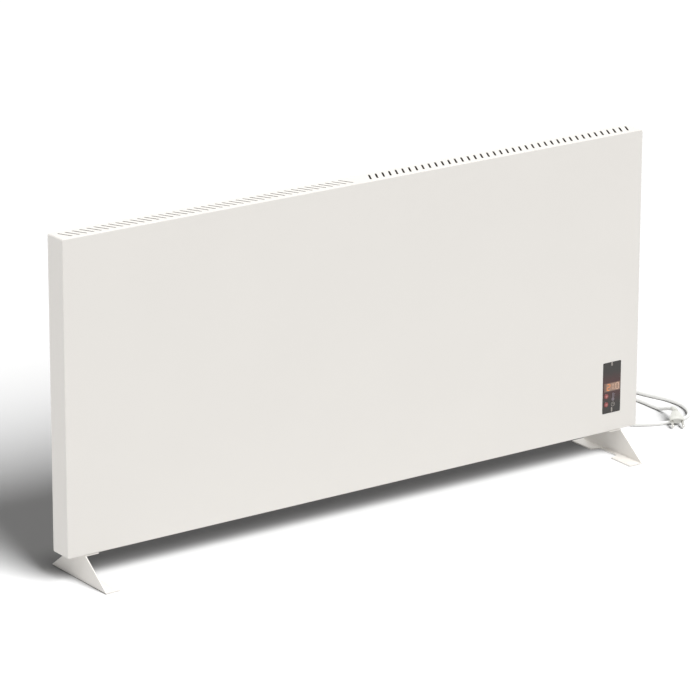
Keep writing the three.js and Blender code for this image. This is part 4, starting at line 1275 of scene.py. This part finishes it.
@dataclass
class ControlPanel:
    """What shows on the smoked faceplate: the lit display, its digits, the printed marks, the keys.

    The marks are a lamp's window at the top, and below the display a thermometer, a clock and an
    on mark. A plate's rim, as shares of the film's thickness, is an inset and how far its middle
    stands out. A key's cap_round is its rim, as depths under its top and shares of its radius.
    """

    front: float = -0.0228
    film: float = 0.00012
    rim: Pair = (0.6, 0.3)
    digit_lift: float = 0.000156
    display: Mark = Mark("display_lens", 0.0363, 0.0160, 0.54265, 0.1335, 0.0006)
    dot: Mark = Mark("decimal_dot", 0.0013, 0.0013, 0.5478, 0.1284, 0.0005, 0.000156)
    digit_height: float = 0.0112
    digit_width: float = 0.0062
    segment: float = 0.0015
    segment_gap: float = 0.35
    segment_point: float = 0.45
    pale_marks: tuple[Mark, ...] = (
        Mark("mark_top", 0.0032, 0.0072, 0.5415, 0.1768, 0.0012),
        Mark("mark_on", 0.0030, 0.0086, 0.5427, 0.0908, 0.0014),
        Mark("clock_hour", 0.0009, 0.0026, 0.5452, 0.1014, 0.0004),
        Mark("clock_minute", 0.0024, 0.0009, 0.5462, 0.1004, 0.0004, 0.00003),
    )
    clock: Pair = (0.5452, 0.1004)
    clock_radius: float = 0.0042
    clock_line: float = 0.0009
    clock_sides: int = 28
    lilac_marks: tuple[Mark, ...] = (
        Mark("thermometer_stem", 0.0026, 0.0115, 0.5452, 0.1163, 0.0012),
        Mark("thermometer_bulb", 0.0066, 0.0066, 0.5452, 0.1097, 0.00328, 0.00003),
        Mark("degree_long", 0.0026, 0.0009, 0.5486, 0.1195, 0.0004),
        Mark("degree_short", 0.0018, 0.0009, 0.5482, 0.1172, 0.0004),
        Mark("degree_low", 0.0026, 0.0009, 0.5486, 0.1149, 0.0004),
    )
    key_x: float = 0.530
    key_upper_z: float = 0.1173
    key_lower_z: float = 0.1017
    key_radius: float = 0.0049
    collar_radius: float = 0.0058
    collar_front: float = -0.0201
    collar_rear: float = -0.0191
    collar_edge: float = 0.0002
    stem_radius: float = 0.0016
    stem_end: float = 0.85
    stem_round: float = 0.0003
    key_sides: int = 48
    cap_round: tuple[Pair, ...] = (
        (0.0009, 1.0), (0.0006, 0.992), (0.00036, 0.965), (0.00018, 0.92), (0.00006, 0.86),
        (0.0, 0.79), (0.0, 0.3),
    )
    sign_length: float = 0.0040
    sign_width: float = 0.0010
    sign_lift: float = 0.00074
    sign_overlap: float = 0.00001

    def blank(self, name: str, size: Pair, at: Point, corner: float, segments: int) -> Bench:
        """A thin upright plate with its four corners cut.

        Args:
            name: Its name.
            size: Its width and height.
            at: Its middle.
            corner: How much of a corner is cut.
            segments: The cut's steps.

        Returns:
            The bench with the plate on it.
        """
        bench = Bench(name).slab((size[0], self.film, size[1]), at)
        bench.pick(lambda e: abs((e.verts[0].co - e.verts[1].co).y) > self.film * 0.9, edges=True)
        bpy.ops.mesh.bevel(offset=corner, segments=segments, affect="EDGES", clamp_overlap=True)
        return bench

    def panel(self, mark: Mark) -> bpy.types.Object:
        """A thin rounded plate that lies on the faceplate.

        Args:
            mark: Its place and sizes.

        Returns:
            The plate.
        """
        at = (mark.x, self.front - mark.lift - self.film / 2, mark.z)
        bench = self.blank(mark.name, (mark.width, mark.height), at, mark.corner, 4)
        bench.pick(lambda f: f.normal.y < -0.9)
        bench.shift(self.film * self.rim[0], (0.0, -self.film * self.rim[1], 0.0))
        return bench.done()

    def bar(self, name: str, at: Pair, size: Pair, upright: bool, lift: float) -> bpy.types.Object:
        """A segment: a flat six-sided bar with pointed ends.

        Args:
            name: Its name.
            at: Its middle, along the heater and above the floor.
            size: Its length and its width.
            upright: True for one that stands.
            lift: Its rear face's distance in front of the faceplate.

        Returns:
            The bar.
        """
        bench = self.blank(name, size, (0.0, 0.0, 0.0), size[1] * self.segment_point, 1)
        place = (at[0], self.front - lift - self.film / 2, at[1])
        return bench.done(turned(90.0 if upright else 0.0, "Y", place), None)

    def digit(self, lit: str, x: float) -> list[bpy.types.Object]:
        """One seven-segment number.

        Args:
            lit: The segments that are lit, by their usual letters.
            x: Its middle.

        Returns:
            Its segments.
        """
        w, h = self.digit_width / 2, self.digit_height / 2
        places = {
            "a": (0.0, h), "g": (0.0, 0.0), "d": (0.0, -h),
            "b": (w, h / 2), "c": (w, -h / 2), "f": (-w, h / 2), "e": (-w, -h / 2),
        }
        bars = []
        for key in lit:
            across, up = places[key]
            upright = key in "bcef"
            length = (h if upright else 2 * w) - self.segment * self.segment_gap
            bars.append(self.bar(f"segment_{key}", (x + across, self.display.z + up),
                                 (length, self.segment), upright, self.digit_lift))
        return bars

    def ring_mark(self, name: str) -> bpy.types.Object:
        """The clock's thin printed ring.

        Args:
            name: Its name.

        Returns:
            The ring.
        """
        bench = Bench(name).ring(self.clock_radius, self.clock_sides)
        bpy.ops.mesh.inset(thickness=self.clock_line, depth=0.0)
        bpy.ops.mesh.delete(type="FACE")
        bpy.ops.mesh.select_all(action="SELECT")
        bpy.ops.mesh.extrude_region_move(TRANSFORM_OT_translate={"value": (0.0, 0.0, self.film)})
        return bench.done(turned(90.0, "X", (self.clock[0], self.front, self.clock[1])))

    def key(self, name: str, node: str) -> bpy.types.Object:
        """A round key: its stem, its collar behind the faceplate, and its cap with a soft rim.

        Args:
            name: Its name.
            node: The CAD key that it stands for.

        Returns:
            The key.
        """
        low, high = (Vector(corner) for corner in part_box(node))
        rear, front, top = (high.y - y for y in (self.collar_rear, self.collar_front, low.y))
        collar, stem, edge = self.collar_radius, self.stem_radius, self.collar_edge
        bench = Bench(name).ring(stem * self.stem_end, self.key_sides)
        bench.profile([
            (self.stem_round, stem), (rear, stem), (rear, collar - edge), (rear + edge, collar),
            (front - edge, collar), (front, collar - edge), (front, self.key_radius),
            *((top - depth, self.key_radius * share) for depth, share in self.cap_round),
        ])
        middle = (low + high) / 2
        return bench.done(turned(90.0, "X", (middle.x, high.y, middle.z)), 40.0)

    def sign(self, name: str, z: float, plus: bool) -> bpy.types.Object:
        """The plus or minus on a key cap.

        Args:
            name: Its name.
            z: The key's middle above the floor.
            plus: True for a plus.

        Returns:
            The sign.
        """
        at, size, lift = (self.key_x, z), (self.sign_length, self.sign_width), self.sign_lift
        bars = [self.bar(f"{name}_level", at, size, False, lift)]
        if plus:
            bars.append(self.bar(f"{name}_upright", at, size, True, lift + self.sign_overlap))
        return joined(name, bars)

    def build(self, dresser: Dresser) -> None:
        """Makes what shows on the faceplate.

        Args:
            dresser: Gives it its finishes.
        """
        orange = LitSegment("orange segments", (0.56, 0.18, 0.06), 0.36).make()
        pale = LitSegment("pale segments", (0.47, 0.30, 0.22), 0.16).make()
        ink = PrintedInk().make()
        lilac = PrintedInk("lilac print", (0.20, 0.165, 0.185)).make()
        rose = PrintedInk("rose print", (0.56, 0.29, 0.27)).make()
        # The lower key's red, with its painted highlight and painted glow in the middle of that
        # key.
        lower_red = KeyPlastic("lower key red", middle=(self.key_x, 0.0, self.key_lower_z)).make()

        dresser.fit(self.panel(self.display), Slot.DISPLAY)
        dot = self.panel(self.dot)
        for name, bars, light in (
            ("display_digit_left", self.digit("abged", 0.5345), orange),
            ("display_digit_middle", self.digit("bc", 0.5415), pale),
            ("display_digit_right", [*self.digit("abcdef", 0.5542), dot], pale),
        ):
            dresser.fit(joined(name, bars), Slot.DISPLAY, material=light)
        marks = [self.ring_mark("clock_ring"), *map(self.panel, self.pale_marks)]
        dresser.fit(joined("printed_marks", marks), Slot.DARK_GLOSS, material=ink)
        lilac_marks = [self.panel(mark) for mark in self.lilac_marks]
        dresser.fit(joined("printed_thermometer", lilac_marks), Slot.DARK_GLOSS, material=lilac)
        for body, red in ((Body.UPPER_KEY, None), (Body.LOWER_KEY, lower_red)):
            cap = self.key(f"{body.value}_cap", body.value)
            dresser.fit(cap, Slot.RED_PLASTIC, body.value, body=body, material=red)
        for body, z in ((Body.UPPER_KEY, self.key_upper_z), (Body.LOWER_KEY, self.key_lower_z)):
            sign = self.sign(f"{body.value}_sign", z, body is Body.UPPER_KEY)
            dresser.fit(sign, Slot.RED_PLASTIC, body=body, material=rose)


# ---------------------------------------------------------------- screws


@dataclass
class Screws:
    """The pan-head screws of the rear panel and the feet, each with a cross recess and a thread.

    The head's steps are heights as shares of its height, and radii as shares of its radius, of
    which head_top, head_base and dish_edge are shares too. The shank_ends are shares of the
    shank's radius at its tip, at its first thread and at its head, and shank_root is that in the
    root of a thread.
    """

    head_radius: float = 0.0034
    head_height: float = 0.0020
    head_start: float = 0.0002
    head_rim: float = 0.00012
    head_round: tuple[Pair, ...] = ((0.42, 1.0), (0.68, 0.9), (0.86, 0.68))
    head_top: float = 0.4
    head_base: float = 0.97
    head_sides: int = 24
    dish_edge: float = 0.16
    dish_depth: float = 0.0007
    recess: Point = (0.0038, 0.00062, 0.0014)
    recess_taper: Point = (0.55, 0.7, 1.0)
    shank_radius: float = 0.0017
    shank_length: float = 0.0080
    shank_over: float = 0.0001
    shank_ends: Point = (0.35, 0.8, 0.9)
    shank_root: float = 0.82
    shank_sides: int = 16
    pitch: float = 0.0008
    threads: int = 9
    turn: float = 37.0

    def head(self) -> bpy.types.Object:
        """Turns the head, facing +Z, with its rim just over zero and a shallow dish in its top.

        Returns:
            The head.
        """
        h, r = self.head_height, self.head_radius
        bench = Bench("screw_head").ring(self.shank_radius * self.shank_ends[2], self.head_sides)
        bench.profile([(0.0, r * self.head_base), (self.head_rim, r),
                       *((h * level, r * share) for level, share in self.head_round),
                       (h - self.head_start, r * self.head_top)])
        bpy.ops.mesh.inset(thickness=r * self.dish_edge, depth=-self.dish_depth)
        return bench.done(Matrix.Translation((0.0, 0.0, self.head_start)), 40.0)

    def blade(self, degrees: float) -> bpy.types.Object:
        """One bar of the cross recess, tapered downwards.

        Args:
            degrees: Its turn about the screw.

        Returns:
            The bar.
        """
        bench = Bench("recess").slab(self.recess, (0.0, 0.0, self.head_height))
        bench.pick(lambda f: f.normal.z < -0.9)
        bpy.ops.transform.resize(value=self.recess_taper)
        return bench.done(turned(degrees, "Z"), None)

    def shank(self) -> bpy.types.Object:
        """Turns the shank with its thread, hanging below zero.

        Returns:
            The shank.
        """
        r, pitch = self.shank_radius, self.pitch
        tip, shoulder, neck = (r * share for share in self.shank_ends)
        steps = [(pitch, shoulder)]
        for low in (pitch + i * pitch for i in range(self.threads)):
            steps += [(low + pitch / 2, r), (low + pitch, r * self.shank_root)]
        steps.append((self.shank_length + self.shank_over, neck))
        bench = Bench("screw_shank").ring(tip, self.shank_sides).profile(steps)
        return bench.done(Matrix.Translation((0.0, 0.0, -self.shank_length)), 30.0)

    def model(self) -> bpy.types.Object:
        """Cuts the cross recess in the head, and joins the shank to it.

        Returns:
            The whole screw.
        """
        head = self.head()
        for blade in [self.blade(degrees) for degrees in (0.0, 90.0)]:
            cutter = head.modifiers.new("recess", "BOOLEAN")
            cutter.object = blade
            cutter.operation = "DIFFERENCE"
            cutter.solver = "EXACT"
            bpy.context.view_layer.objects.active = head
            bpy.ops.object.modifier_apply(modifier="recess")
            bpy.data.objects.remove(blade)
        return joined("screw_model", [head, self.shank()])

    def place(self, node: str) -> Matrix:
        """Where a CAD screw's head sits, and the way it faces.

        Args:
            node: The CAD screw's name.

        Returns:
            The place.
        """
        low, high = (Vector(corner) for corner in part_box(node))
        middle = (low + high) / 2
        if node.startswith("rear"):
            return turned(-90.0, "X", (middle.x, high.y - self.head_height, middle.z))
        return turned(180.0, "X", (middle.x, middle.y, low.z + self.head_height))

    def build(self, nodes: Iterable[str], dresser: Dresser) -> None:
        """Puts a screw in place of each CAD one.

        Args:
            nodes: The CAD screws' names.
            dresser: Gives them their finish.
        """
        model = self.model()
        for count, node in enumerate(nodes):
            piece = model.copy()
            piece.data = model.data.copy()
            piece.name = piece.data.name = node.replace("screw", "screw_dressed")
            piece.data.transform(self.place(node) @ turned(self.turn * count, "Z"))
            bpy.context.scene.collection.objects.link(piece)
            dresser.fit(piece, Slot.STEEL, node)
        bpy.data.objects.remove(model)


# ---------------------------------------------------------------- the carried CAD nodes


@dataclass
class CarriedNodes:
    """The CAD nodes that stay, each dressed by the record's slot or by a finish of its own."""

    shield: EvenFinish = ZincPlate(
        "shield steel", (0.52, 0.53, 0.54), (0.5408, 0.53, 0.5022),
        relief=(Pattern(2400.0, 2.0, 0.000006, Lines.ALONG),))
    stiffener: EvenFinish = ZincPlate(
        "stiffener steel", (0.56, 0.57, 0.58), (0.5824, 0.57, 0.5394),
        relief=(Pattern(2400.0, 2.0, 0.000006, Lines.UPRIGHT),))

    def build(self, frame: dict, dresser: Dresser) -> None:
        """Dresses them.

        Args:
            frame: The loaded frame.
            dresser: Holds the slots' finishes.
        """
        own = {"heat_shield": self.shield.make(), "front_stiffener_left": self.stiffener.make()}
        own["front_stiffener_right"] = own["front_stiffener_left"]
        slots = {part["node"]: Slot(part["material_slot"]) for part in frame["record"]["subparts"]}
        for name, node in frame["nodes"].items():
            node.data.materials.clear()
            node.data.materials.append(own.get(name) or dresser.materials[slots[name]])
            log.info("%s carried over", name)


# ---------------------------------------------------------------- studio


@dataclass(frozen=True)
class Lamp:
    """A distant soft lamp.

    Attributes:
        name: Its name.
        strength: Its strength.
        height: Its height above the horizon, in degrees.
        side: How far right of the heater's front it stands, in degrees.
        size: How wide it is in the sky, in degrees.
        on_floor: True for one that lights the floor alone, and false for all but the floor.
        distance: How far off it is placed.
    """

    name: str
    strength: float
    height: float
    side: float
    size: float
    on_floor: bool
    distance: float = 6.0

    def build(self, floor: bpy.types.Object) -> None:
        """Sets the lamp up.

        Args:
            floor: The floor.
        """
        data = bpy.data.lights.new(self.name, "SUN")
        data.energy = self.strength
        data.angle = math.radians(self.size)
        lamp = bpy.data.objects.new(self.name, data)
        up, side = math.radians(self.height), math.radians(self.side)
        source = Vector((math.sin(side) * math.cos(up), -math.cos(side) * math.cos(up),
                         math.sin(up)))
        turn = source.to_track_quat("Z", "Y").to_matrix().to_4x4()
        lamp.matrix_world = Matrix.Translation(source * self.distance) @ turn
        bpy.context.scene.collection.objects.link(lamp)
        group = bpy.data.collections.new(f"{self.name} receivers")
        group.objects.link(floor)
        lamp.light_linking.receiver_collection = group
        if not self.on_floor:
            group.collection_objects[0].light_linking.link_state = "EXCLUDE"


@dataclass
class Studio:
    """A wide white floor, soft light all round, a lamp on the heater and one for its shadow.

    A painted shade darkens the floor close under the heater. Each edge of that strip is its place
    and softness.
    The ends are the same distance to both sides of the heater's middle.
    """

    floor_size: Point = (60.0, 60.0, 0.02)
    floor_middle: Point = (0.0, 4.0, -0.0101)
    floor_tone: Colour = (0.42, 0.42, 0.42)
    # The painted shade's colour, and the edges of its strip under the heater.
    painted_shade_tone: Colour = (0.1764, 0.1764, 0.1764)
    painted_shade_front: Pair = (0.015, 0.064)
    painted_shade_rear: Pair = (0.110, 0.140)
    painted_shade_ends: Pair = (0.575, 0.06)
    sky: float = 0.39
    lamps: tuple[Lamp, ...] = (
        Lamp("soft lamp", 2.95, 75.0, 8.0, 50.0, False),
        Lamp("floor lamp", 10.2, 42.0, 9.0, 36.0, True),
    )

    def floor(self) -> bpy.types.Object:
        """Makes the floor, one wide plate.

        Returns:
            The floor.
        """
        floor = Bench("studio_floor").slab(self.floor_size, self.floor_middle).done(smooth=None)
        paint = Recipe("studio floor", self.floor_tone, 0.9)
        paint.give("Specular IOR Level", 0.0)
        x, y, _ = paint.parts()
        # Painted shade: in a strip under the heater, the floor's colour goes to the painted shade
        # tone.
        under = y.above(*self.painted_shade_front) * (1.0 - y.above(*self.painted_shade_rear))
        under = under * (1.0 - abs(x).above(*self.painted_shade_ends))
        paint.give("Base Color", paint.mix(under, self.floor_tone, self.painted_shade_tone))
        floor.data.materials.append(paint.material)
        return floor

    def world(self) -> None:
        """The soft light all round, white where it is seen or mirrored."""
        world = bpy.data.worlds.new("studio")
        world.use_nodes = True
        bpy.context.scene.world = world
        tree = Tree(world.node_tree)
        path = tree.node("LightPath")
        seen, mirrored, through = (Value(tree, path.outputs[f"Is {kind} Ray"])
                                   for kind in ("Camera", "Glossy", "Transmission"))
        white = seen.sum_of("MAXIMUM", seen.sum_of("MAXIMUM", seen, mirrored), through)
        background = world.node_tree.nodes["Background"]
        tree.feed(background.inputs["Color"], (1.0, 1.0, 1.0))
        tree.feed(background.inputs["Strength"], white * (1.0 - self.sky) + self.sky)

    def build(self) -> None:
        """Sets the studio up."""
        floor = self.floor()
        self.world()
        for lamp in self.lamps:
            lamp.build(floor)
        bpy.context.scene.view_settings.view_transform = "Standard"


# ---------------------------------------------------------------- all together


def main() -> None:
    """Builds everything in order."""
    logging.basicConfig(level=logging.INFO, format="%(name)s: %(message)s")
    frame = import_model()
    Viewpoint().build()
    dresser = Dresser()
    MainsLead().build(dresser)
    CarriedNodes().build(frame, dresser)
    ControlPanel().build(dresser)
    screws = [name for name in frame["nodes"] if name.startswith(("rear_screw", "foot_screw"))]
    Screws().build(screws, dresser)
    Studio().build()


if __name__ == "__main__":
    main()
